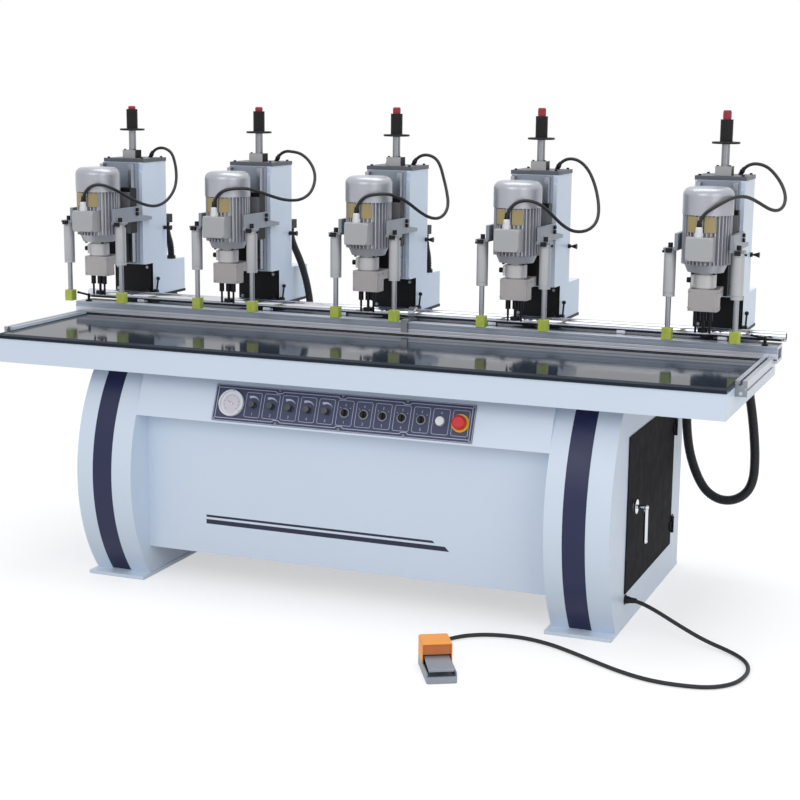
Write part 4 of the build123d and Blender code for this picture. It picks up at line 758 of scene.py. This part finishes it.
for number, head in enumerate(HEADS, 1):
    route = MOTOR_START + MOTOR_LOOPS[number - 1] + MOTOR_END
    path = spaced(line_points(route, head), CABLE_STEP)
    cable = add(f"motor_cable_{number}", tube_mesh("motor_cable", path, MOTOR_CABLE, RUBBER, 18))
    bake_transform(cable)
    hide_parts("motor_cables")

head = HEADS[CONDUIT_HEAD - 1]
path = spaced(line_points(CONDUIT_ROUTE, head, RIB_SMOOTH), RIB_STEP)
hose = add("rear_conduit", tube_mesh("rear_conduit", path, CONDUIT_WIDTH, CONDUIT, 24, ribs))
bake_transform(hose)
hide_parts("conduit_hoses")

path = spaced(line_points(LOOP_ROUTE, 0.0, RIB_SMOOTH), RIB_STEP)
loop_mesh = tube_mesh("loop_conduit", path, LOOP_WIDTH, CONDUIT, 28, ribs)
loop = show("loop_conduit", loop_mesh, "bench")
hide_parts("conduit_hoses")

pedal_line = spline("pedal_cord", PEDAL_ROUTE)
pedal_line.bevel_depth = PEDAL_CABLE / 2 * MM
pedal_line.bevel_resolution = 6
pedal_line.use_fill_caps = True
pedal_line.materials.append(RUBBER)
pedal_cord = add("pedal_cord", pedal_line)
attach(pedal_cord, "bench")
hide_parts("pedal_cable")


# Strain reliefs and glands of the cords

BOX_GLAND = (-8, 504, 1256.5)
BOX_EXIT = MOTOR_START[0]
COLUMN_EXIT = MOTOR_END[-1]
COLUMN_LEAN = Vector(MOTOR_END[-2]) - Vector(COLUMN_EXIT)
PEDESTAL_EXIT = (960, 225, 95)
PEDAL_ENTRY = PEDAL_ROUTE[-1]
PEDAL_AHEAD = Vector(PEDAL_ROUTE[-2]) - Vector(PEDAL_ENTRY)

relief = Piece("motor_relief")
relief.lathe(
    ((5.8, -1), (8.4, -1), (9.0, 0.5), (9.0, 5), (8.0, 6.5), (7.8, 7.5), (6.4, 20), (6.0, 21), (5.8, 21)),
    BOX_EXIT, Z_AXIS, BLACK_PLASTIC, 24,
)
on_heads("motor_relief", relief, "feed")

nut = Piece("gland_nut")
nut.lathe(
    ((9, 0), (11, 0), (12, 1), (12, 13), (11, 14), (9, 14)),
    BOX_GLAND, Z_AXIS, WHITE_PLASTIC, 48, lambda i, angle: hexagon(angle),
)
nut.lathe(
    ((9, 14), (11.6, 14), (11.6, 24), (10.6, 31), (9.4, 33.6), (9, 33.6)),
    BOX_GLAND, Z_AXIS, WHITE_PLASTIC, 32,
)
on_heads("gland_nut", nut, "feed")

relief = Piece("column_relief")
relief.lathe(
    ((5.8, -3), (8.4, -3), (9.0, -1.5), (9.0, 3), (8.0, 4.5), (6.4, 14), (6.0, 15), (5.8, 15)),
    COLUMN_EXIT, COLUMN_LEAN, BLACK_PLASTIC, 24,
)
on_heads("column_relief", relief, "carriage")


def blunt_flange(i, angle):
    """A hexagon with soft corners on the rings of the gland's flange."""
    return hexagon(angle) ** 0.6 if 1 <= i <= 3 else 1.0


gland = Piece("pedestal_gland")
gland.lathe(
    (
        (6.6, 0), (15, 0), (15, 4), (14, 5), (12.5, 5), (12.5, 13),
        (11.5, 15), (10.6, 15), (8.0, 38), (7.0, 40), (6.6, 40),
    ),
    PEDESTAL_EXIT, X_AXIS, BLACK_PLASTIC, 24, blunt_flange,
)
pedestal_gland = show("pedestal_gland", gland.part_mesh(), "bench")

relief = Piece("pedal_relief")
relief.lathe(
    ((6.6, -1), (10.5, -1), (10.8, 1), (10.8, 7), (10, 8.5), (9.2, 9), (7.4, 26), (7.0, 27), (6.6, 27)),
    PEDAL_ENTRY, PEDAL_AHEAD, BLACK_PLASTIC, 24,
)
pedal_relief = show("pedal_relief", relief.part_mesh(), "bench")

length_of(line_points(PEDAL_ROUTE))


# Bands on the pedestals and stripes on the front panel

ARC_MIDDLE = (585.0, 370.0)
ARC_RADIUS = 590.0
BANDS = (("left", -859.5), ("right", 844.0))
BAND_WIDTH = 75.0
BAND_LOW = 13.0
BAND_HIGH = 755.0
BAND_PROUD = 0.4
BAND_SUNK = 1.0
BAND_STEPS = 60
FRONT_PANEL = 120.0
STRIPE_SUNK = 0.2
STRIPE_THICK = 0.5


def arc_points(radius):
    """Points of (b, Z) along the front of a pedestal."""
    low = math.asin((BAND_LOW - ARC_MIDDLE[1]) / ARC_RADIUS)
    high = math.asin((BAND_HIGH - ARC_MIDDLE[1]) / ARC_RADIUS)
    points = []
    for k in range(BAND_STEPS + 1):
        angle = low + (high - low) * k / BAND_STEPS
        points.append((ARC_MIDDLE[0] - radius * math.cos(angle), ARC_MIDDLE[1] + radius * math.sin(angle)))
    return points


for name, middle in BANDS:
    band = Piece(f"{name}_band")
    left = middle - BAND_WIDTH / 2
    right = middle + BAND_WIDTH / 2
    rings = []
    for outer, inner in zip(arc_points(ARC_RADIUS + BAND_PROUD), arc_points(ARC_RADIUS - BAND_SUNK)):
        corners = ((left, *inner), (right, *inner), (right, *outer), (left, *outer))
        rings.append([Vector(corner) for corner in corners])
    band.rings(rings, INDIGO)
    show(f"{name}_band", band.part_mesh(), "bench")

stripes = Piece("front_stripes")
for left, right, low, high, slant in ((-517, 328, 241, 249, 8), (-517, 372, 217, 233, 16)):
    outline = ((left, low), (right + slant, low), (right, high), (left, high))
    stripes.prism(outline, STRIPE_THICK, NAVY, facing_front(FRONT_PANEL + STRIPE_SUNK))
show("front_stripes", stripes.part_mesh(), "bench")


# Control panel: printed lines, numbers and screws

PANEL_TURN = Matrix((
    (1, 0, 0, 0),
    (0, PANEL_UP.y, PANEL_OUT.y, PANEL_FOOT[0]),
    (0, PANEL_UP.z, PANEL_OUT.z, PANEL_FOOT[1]),
    (0, 0, 0, 1),
))
PANEL_BOX = (-452.0, 7.0, 486.0, 134.0)
PANEL_FACE = 3.0
PRINT_LOW = 2.9
PRINT_HIGH = 3.12
ROW = 70.0

# Cells: the regulators come first, then the selectors, the start button and the stop
CELLS = 12
GROUP = 5
CELL_FIRST = -304.6
CELL_PITCH = 67.6
CELL_HALF = 29.0
CELL_LOW = 27.0
CELL_HIGH = 113.0
NUMBER_ROW = 38.5
NUMBER_SIZE = 13.0
WEDGE_RADIUS = 25.5
WEDGE_START = 122.0
WEDGE_SWEEP = 84.0
WEDGE_WIDE = 8.5
WEDGE_NARROW = 0.6
WEDGE_STEPS = 12
SELECTOR_MARKS = ((135, 4.0), (90, 9.0), (45, 4.0))
MARK_RADIUS = 23.0
START_MARK = 3.0
START_ROW = 99.0

SCREW_PLACES = (-212.0, 18.8, 249.5)
SCREW_ROWS = (13.5, 127.5)
CORNER_PLACES = (-444.0, 478.0)
CORNER_ROWS = (13.0, 128.0)
BORDER_MARGIN = 10.0
BORDER_STEP = 6.0
STEP_HALVES = (15.0, 9.0)

prints = Piece("panel_prints")


def panel_point(x, s, out):
    """The place along the panel, up its slope and out of it."""
    return PANEL_TURN @ Vector((x, s, out))


def on_panel(x, s, out):
    """The panel's frame moved to such a place."""
    return PANEL_TURN @ Matrix.Translation((x, s, out))


def spoke(angle, start, stop, half):
    """The outline of a mark along a ray, from one radius to another."""
    ahead = polar(1.0, angle)
    side = Vector((-ahead.y, ahead.x)) * half
    return (ahead * start + side, ahead * start - side, ahead * stop - side, ahead * stop + side)


def printed(outline, x, s):
    """A printed patch, its outline taken from a place of the panel."""
    prints.prism(outline, PRINT_HIGH - PRINT_LOW, PANEL_LINE, on_panel(x, s, PRINT_LOW))


def printed_ring(outline, width):
    """A printed line round a closed outline, as thin quadrilaterals."""
    inner = inset(outline, width)
    low = [panel_point(x, s, PRINT_LOW) for x, s in outline]
    high = [panel_point(x, s, PRINT_HIGH) for x, s in outline]
    top = [panel_point(x, s, PRINT_HIGH) for x, s in inner]
    under = [panel_point(x, s, PRINT_LOW) for x, s in inner]
    prints.rings([low, high, top, under, low], PANEL_LINE, closed=False)


def border():
    """The inner border, which steps round the screws."""
    x0, y0, x1, y1 = PANEL_BOX
    left = x0 + BORDER_MARGIN
    right = x1 - BORDER_MARGIN
    low = y0 + BORDER_MARGIN
    high = y1 - BORDER_MARGIN
    raised = low + BORDER_STEP
    lowered = high - BORDER_STEP
    foot, top = STEP_HALVES
    outline = [(left, low)]
    for x in SCREW_PLACES:
        outline += [(x - foot, low), (x - top, raised), (x + top, raised), (x + foot, low)]
    outline += [(right, low), (right, high)]
    for x in reversed(SCREW_PLACES):
        outline += [(x + foot, high), (x + top, lowered), (x - top, lowered), (x - foot, high)]
    outline.append((left, high))
    return outline


def print_wedge(x):
    """The scale of a regulator, which narrows along its arc."""
    inner = []
    outer = []
    for k in range(WEDGE_STEPS + 1):
        share = k / WEDGE_STEPS
        angle = WEDGE_START - WEDGE_SWEEP * share
        inner.append(polar(WEDGE_RADIUS, angle))
        outer.append(polar(WEDGE_RADIUS + WEDGE_WIDE * (1 - share) + WEDGE_NARROW, angle))
    for k in range(WEDGE_STEPS):
        printed((inner[k + 1], outer[k + 1], outer[k], inner[k]), x, ROW)


def print_number(text, x, s, size):
    """A number, centred at a place of the panel."""
    data = bpy.data.curves.new("number", "FONT")
    data.body = text
    data.size = size
    data.align_x = "CENTER"
    data.align_y = "CENTER"
    data.extrude = (PRINT_HIGH - PRINT_LOW) / 2
    thing = add("number", data)
    bpy.context.view_layer.update()
    mesh = bpy.data.meshes.new_from_object(thing)
    mesh.transform(on_panel(x, s, (PRINT_LOW + PRINT_HIGH) / 2))
    points = [v.co.copy() for v in mesh.vertices]
    prints.faces(points, [tuple(p.vertices) for p in mesh.polygons], PANEL_LINE)
    bpy.data.objects.remove(thing)
    bpy.data.meshes.remove(mesh)


printed_ring(rounded_box(PANEL_BOX[0] + 1, PANEL_BOX[1] + 1, PANEL_BOX[2] - 1, PANEL_BOX[3] - 1, 3), 2.0)
printed_ring(border(), 2.2)
for k in range(CELLS):
    middle = CELL_FIRST + CELL_PITCH * k
    printed_ring(rounded_box(middle - CELL_HALF, CELL_LOW, middle + CELL_HALF, CELL_HIGH, 7), 1.5)
    if k < GROUP:
        print_wedge(middle)
    elif k < 2 * GROUP:
        for angle, size in SELECTOR_MARKS:
            printed(spoke(angle, MARK_RADIUS, MARK_RADIUS + size, 0.9), middle, ROW)
    elif k == 2 * GROUP:
        circle = [polar(START_MARK, 30 * step) + Vector((middle, START_ROW)) for step in range(12)]
        printed_ring(circle, 1.0)
for k in range(2 * GROUP):
    print_number(str(k % GROUP + 1), CELL_FIRST + CELL_PITCH * k, NUMBER_ROW, NUMBER_SIZE)
show("panel_prints", prints.part_mesh(), "bench")

screws = Piece("panel_screws")
screw_spots = [(x, s) for x in SCREW_PLACES for s in SCREW_ROWS]
screw_spots += [(x, s) for x in CORNER_PLACES for s in CORNER_ROWS]
for x, s in screw_spots:
    screws.bolt(panel_point(x, s, PANEL_FACE), PANEL_OUT, 4.4, 2.6, SATIN)
show("panel_screws", screws.part_mesh(), "bench")


# Pressure gauge

GAUGE_X = -384.0
DIAL_OUT = 6.0
TICKS_OUT = 7.0
NEEDLE_OUT = 7.9
HUB_OUT = 6.9
SCALE_START = 225.0
SCALE_SWEEP = 270.0
SCALE_TICKS = 28
TICK_END = 29.5
NEEDLE_ANGLE = 150.0
BEZEL_SCREWS = (82.0, 202.0, 322.0)
BEZEL_RADIUS = 42.4
BEZEL_OUT = 15.0

gauge = Piece("pressure_gauge")
dial = panel_point(GAUGE_X, ROW, DIAL_OUT)
gauge.lathe(((0, 0), (40.2, 0), (40.2, 1.6), (33.0, 0.8), (0, 0.8)), dial, PANEL_OUT, WHITE_PLASTIC, 48)
gauge.lathe(((0, 0.7), (32.0, 0.7), (32.0, 1.1), (0, 1.1)), dial, PANEL_OUT, DIAL, 48)
for k in range(SCALE_TICKS):
    angle = SCALE_START - SCALE_SWEEP * k / (SCALE_TICKS - 1)
    tick = spoke(angle, 24.5, TICK_END, 0.55) if k % 3 == 0 else spoke(angle, 26.5, TICK_END, 0.3)
    gauge.prism(tick, 0.25, BLACK_PLASTIC, on_panel(GAUGE_X, ROW, TICKS_OUT))
needle = on_panel(GAUGE_X, ROW, NEEDLE_OUT) @ Matrix.Rotation(math.radians(NEEDLE_ANGLE), 4, "Z")
gauge.prism(((25, 0), (-8, 1.3), (-8, -1.3)), 0.5, RED_PLASTIC, needle)
hub = panel_point(GAUGE_X, ROW, HUB_OUT)
gauge.lathe(((3.2, 0), (3.2, 2.0), (2.4, 2.6), (0, 2.6)), hub, PANEL_OUT, CHROME, 20)
for angle in BEZEL_SCREWS:
    spot = polar(BEZEL_RADIUS, angle) + Vector((GAUGE_X, ROW))
    gauge.bolt(panel_point(*spot, BEZEL_OUT), PANEL_OUT, 2.0, 0.9, STEEL)
show("pressure_gauge", gauge.part_mesh(), "bench")


# Labels on the motors

LABEL_SPANS = ((-40, -11), (4, 31))
LABEL_STEPS = 12
LABEL_CORNERS = ((81.1, 1270), (82.2, 1270), (82.2, 1322), (81.1, 1322))

label = Piece("motor_label")
for first, last in LABEL_SPANS:
    rings = []
    for k in range(LABEL_STEPS + 1):
        angle = first + (last - first) * k / LABEL_STEPS - 90
        spots = [(polar(radius, angle), z) for radius, z in LABEL_CORNERS]
        rings.append([Vector((spot.x, AXIS + spot.y, z)) for spot, z in spots])
    label.rings(rings, LABEL)
on_heads("motor_label", label, "feed")


# Trim of the fence, the table and the pedal's hood, with painted shade on a strip of the fence top and on
# the hood's flap

FENCE_END = 1347.0
FENCE_FRONT = 620.3
SEAL_LOW = TABLE_Z + 0.3
SEAL_HIGH = TABLE_Z + 4.2
STRIP_LEFT = -1330.0
STRIP_FRONT = 676.0
STRIP_REAR = 717.0
STRIP_Z = 896.1
TABLE_HALF = 1299.5
TABLE_FRONT = 0.5
TABLE_REAR = 618.0
EDGING_FRONT = 45.0
EDGING_SIDE = 12.0
EDGING_THICK = 0.3
EDGING_CLEAR = 0.02
FLAP_HALF = 43.4
FLAP_LOW = 54.0
FLAP_HIGH = 86.4
FLAP_B = 106.5

seal = Piece("fence_seal")
seal.prism(
    rectangle(-FENCE_END, SEAL_LOW, FENCE_END, SEAL_HIGH), 0.8, BLACK_PLASTIC, facing_front(FENCE_FRONT),
)
show("fence_seal", seal.part_mesh(), "bench")

# A black strip on the fence top under the round rail: painted shade, a dark sheet put where the fence top
# falls in shade so that the rail's lower half reflects dark.
shade_strip = Piece("fence_shade_strip")
shade_strip.prism(
    rectangle(STRIP_LEFT, STRIP_FRONT, FENCE_END, STRIP_REAR), 0.5, BLACK_PLASTIC,
    Matrix.Translation((0, 0, STRIP_Z)),
)
show("fence_shade_strip", shade_strip.part_mesh(), "bench")

edging = Piece("table_edging")
inner_half = TABLE_HALF - EDGING_SIDE
inner_front = TABLE_FRONT + EDGING_FRONT
for outline in (
    rectangle(-TABLE_HALF, TABLE_FRONT, TABLE_HALF, inner_front),
    rectangle(-TABLE_HALF, inner_front, -inner_half, TABLE_REAR),
    rectangle(inner_half, inner_front, TABLE_HALF, TABLE_REAR),
):
    edging.prism(outline, EDGING_THICK, EDGING, Matrix.Translation((0, 0, TABLE_Z + EDGING_CLEAR)))
show("table_edging", edging.part_mesh(), "bench")

# A flap in the hood's opening, its darker orange partly painted shade of the hood's inside.
flap = Piece("pedal_flap")
pedal_turn = Matrix.Translation(PEDAL_PLACE) @ Matrix.Rotation(PEDAL_TURN, 4, "Z")
flap.prism(
    rounded_box(-FLAP_HALF, FLAP_LOW, FLAP_HALF, FLAP_HIGH, 2.0, 3), 2.5, FLAP_ORANGE_AND_SHADE,
    pedal_turn @ facing_front(FLAP_B), 0.6,
)
show("pedal_flap", flap.part_mesh(), "bench")


# Covers, lids, caps and screws of the boring heads

SLIDE_FRONT = 690.2
BOX_FRONT = 488.2
FLANGE_Z = 1136.0
FLANGE_BOLTS = 50.0
GEARBOX_FRONT = 567.0
GEARBOX_HALF = 49.0
CAP_Z = 1629.0
CAP_HEIGHTS = (12.0, 16.0, 23.0, 29.0, 31.0)
CAP_RIDGES = 24
COLUMN_TOP = 1441.0
BLOCK_TOP = 1472.0

cover = Piece("slide_cover")
cover.prism(rounded_box(-83.5, 1160, 83.5, 1318, 1.5, 2), 0.9, SLIDE_GREY, facing_front(SLIDE_FRONT), 0.4)
on_heads("slide_cover", cover, "feed")

lid = Piece("box_lid")
lid.prism(rounded_box(-47.0, 1179.5, 41.0, 1255.5, 15.0, 6), 3.0, BOX_GREY, facing_front(BOX_FRONT), 1.2)
on_heads("box_lid", lid, "feed")

details = Piece("motor_screws")
for angle in (45, 135, 225, 315):
    spot = polar(FLANGE_BOLTS, angle) + Vector((0, AXIS))
    details.bolt((*spot, FLANGE_Z), -Z_AXIS, 5.0, 6.0, DARK_STEEL_AND_PAINTED_SHADE)
for x in (-41, 41):
    for z in (1014, 1071):
        details.bolt((x, GEARBOX_FRONT, z), -Y_AXIS, 3.0, 2.0, CASTING)
for z in (1016, 1069):
    for b in (577, 617):
        details.bolt((GEARBOX_HALF, b, z), X_AXIS, 3.0, 2.0, CASTING)
        details.bolt((-GEARBOX_HALF, b, z), -X_AXIS, 3.0, 2.0, CASTING)
on_heads("motor_screws", details, "feed")


def ridged(i, angle):
    """Grip ridges round a cap."""
    return 1.0 + 0.02 * math.cos(CAP_RIDGES * angle)


for number, (head, height) in enumerate(zip(HEADS, CAP_HEIGHTS), 1):
    cap = Piece("cap_ridges")
    profile = ((13.4, 2), (14.1, 3), (14.1, height - 6), (13.4, height - 5))
    cap.lathe(profile, (0, ROD, CAP_Z), Z_AXIS, CAP_RED, 96, ridged)
    show(f"cap_ridges_{number}", cap.part_mesh(), f"feed_{number}", head)

plates = Piece("column_bolts")
for x in (-74, 74):
    for b in (801, 950):
        plates.bolt((x, b, COLUMN_TOP), Z_AXIS, 5.0, 5.0)
for x in (-21, 21):
    plates.bolt((x, ROD - 22, BLOCK_TOP), Z_AXIS, 4.0, 4.0)
on_heads("column_bolts", plates, "carriage")


# Stage: floor, light and camera, in metres

FLOOR_HALF = 40.0
FLOOR_DROP = 0.0006
FLOOR_GLOW = 0.52
FLOOR_COLOUR = (0.55, 0.555, 0.56, 1.0)
FLOOR_SOLID = 2.6
FLOOR_END = 5.2
PURE_WHITE = (1, 1, 1, 1)
AMBIENT = 0.71


def seen_rays(tree):
    """1 for rays that show a surface to the camera, in a mirror or through glass, and 0 for lighting."""
    rays = tree.nodes.new("ShaderNodeLightPath")
    total = rays.outputs["Is Camera Ray"]
    for name in ("Is Glossy Ray", "Is Transmission Ray"):
        larger = tree.nodes.new("ShaderNodeMath")
        larger.operation = "MAXIMUM"
        tree.links.new(total, larger.inputs[0])
        tree.links.new(rays.outputs[name], larger.inputs[1])
        total = larger.outputs["Value"]
    return total


def floor_material():
    """A pale floor that keeps the shadow and fades out round the object."""
    finish = Finish("pale_floor", FLOOR_COLOUR, 0.7, vary=0.004, patch=0.6)
    finish.set(Specular_IOR_Level=0.1, Emission_Color=PURE_WHITE)
    material = finish.done()
    tree = finish.tree
    glow = tree.nodes.new("ShaderNodeMath")
    glow.operation = "MULTIPLY"
    glow.inputs[1].default_value = FLOOR_GLOW
    tree.links.new(seen_rays(tree), glow.inputs[0])
    tree.links.new(glow.outputs["Value"], finish.shader.inputs["Emission Strength"])
    geometry = tree.nodes.new("ShaderNodeNewGeometry")
    distance = tree.nodes.new("ShaderNodeVectorMath")
    distance.operation = "LENGTH"
    tree.links.new(geometry.outputs["Position"], distance.inputs[0])
    fade = tree.nodes.new("ShaderNodeMapRange")
    fade.interpolation_type = "SMOOTHSTEP"
    fade.inputs["From Min"].default_value = FLOOR_SOLID
    fade.inputs["From Max"].default_value = FLOOR_END
    tree.links.new(distance.outputs["Value"], fade.inputs["Value"])
    clear = tree.nodes.new("ShaderNodeBsdfTransparent")
    mixed = tree.nodes.new("ShaderNodeMixShader")
    tree.links.new(fade.outputs["Result"], mixed.inputs["Fac"])
    tree.links.new(finish.shader.outputs["BSDF"], mixed.inputs[1])
    tree.links.new(clear.outputs["BSDF"], mixed.inputs[2])
    tree.links.new(mixed.outputs["Shader"], tree.nodes["Material Output"].inputs["Surface"])
    return material


def background(tree, strength):
    """A white background node of that strength."""
    node = tree.nodes.new("ShaderNodeBackground")
    node.inputs["Color"].default_value = PURE_WHITE
    node.inputs["Strength"].default_value = strength
    return node


floor_corners = [(x * FLOOR_HALF, y * FLOOR_HALF, 0) for x, y in ((-1, -1), (1, -1), (1, 1), (-1, 1))]
floor_data = bpy.data.meshes.new("floor")
floor_data.from_pydata(floor_corners, [], [(0, 1, 2, 3)])
floor_data.materials.append(floor_material())
floor = add("floor", floor_data)
floor.location.z = -FLOOR_DROP

world = bpy.data.worlds.new("studio")
bpy.context.scene.world = world
world.use_nodes = True
tree = world.node_tree
tree.nodes.clear()
choose = tree.nodes.new("ShaderNodeMixShader")
tree.links.new(seen_rays(tree), choose.inputs["Fac"])
tree.links.new(background(tree, AMBIENT).outputs["Background"], choose.inputs[1])
tree.links.new(background(tree, 1.0).outputs["Background"], choose.inputs[2])
output = tree.nodes.new("ShaderNodeOutputWorld")
tree.links.new(choose.outputs["Shader"], output.inputs["Surface"])


def area_light(name, place, aim, size, power):
    """A rectangular lamp that faces a point."""
    data = bpy.data.lights.new(name, "AREA")
    data.shape = "RECTANGLE"
    data.size, data.size_y = size
    data.energy = power
    lamp = add(name, data)
    lamp.location = place
    lamp.rotation_euler = (Vector(aim) - Vector(place)).to_track_quat("-Z", "Y").to_euler()


area_light("key", place=(-0.6, -5.6, 3.4), aim=(0, 0, 0.6), size=(4.5, 2.4), power=60)
area_light("fill", place=(4.4, -3.6, 2.6), aim=(0.4, 0, 0.7), size=(3.0, 3.0), power=40)
area_light("top", place=(0.2, 0.6, 5.0), aim=(0.2, 0, 0), size=(4.5, 2.6), power=95)

CAMERA_PLACE = (2.1788, -5.4195, 1.7428)
CAMERA_RIGHT = (0.92950603, 0.36867582, 0.0098323)
CAMERA_UP = (-0.07858576, 0.17194223, 0.98196749)
CAMERA_AHEAD = (-0.36033708, 0.91351738, -0.18879401)

camera_data = bpy.data.cameras.new("camera")
camera_data.lens = 74.655
camera_data.sensor_width = 36.0
camera_data.shift_x = -0.00125
camera_data.shift_y = 0.00125
camera_data.clip_end = 200.0
camera = add("camera", camera_data)
camera.matrix_world = Matrix((
    (CAMERA_RIGHT[0], CAMERA_UP[0], -CAMERA_AHEAD[0], CAMERA_PLACE[0]),
    (CAMERA_RIGHT[1], CAMERA_UP[1], -CAMERA_AHEAD[1], CAMERA_PLACE[1]),
    (CAMERA_RIGHT[2], CAMERA_UP[2], -CAMERA_AHEAD[2], CAMERA_PLACE[2]),
    (0, 0, 0, 1),
))
bpy.context.scene.camera = camera
bpy.context.scene.view_settings.view_transform = "Standard"
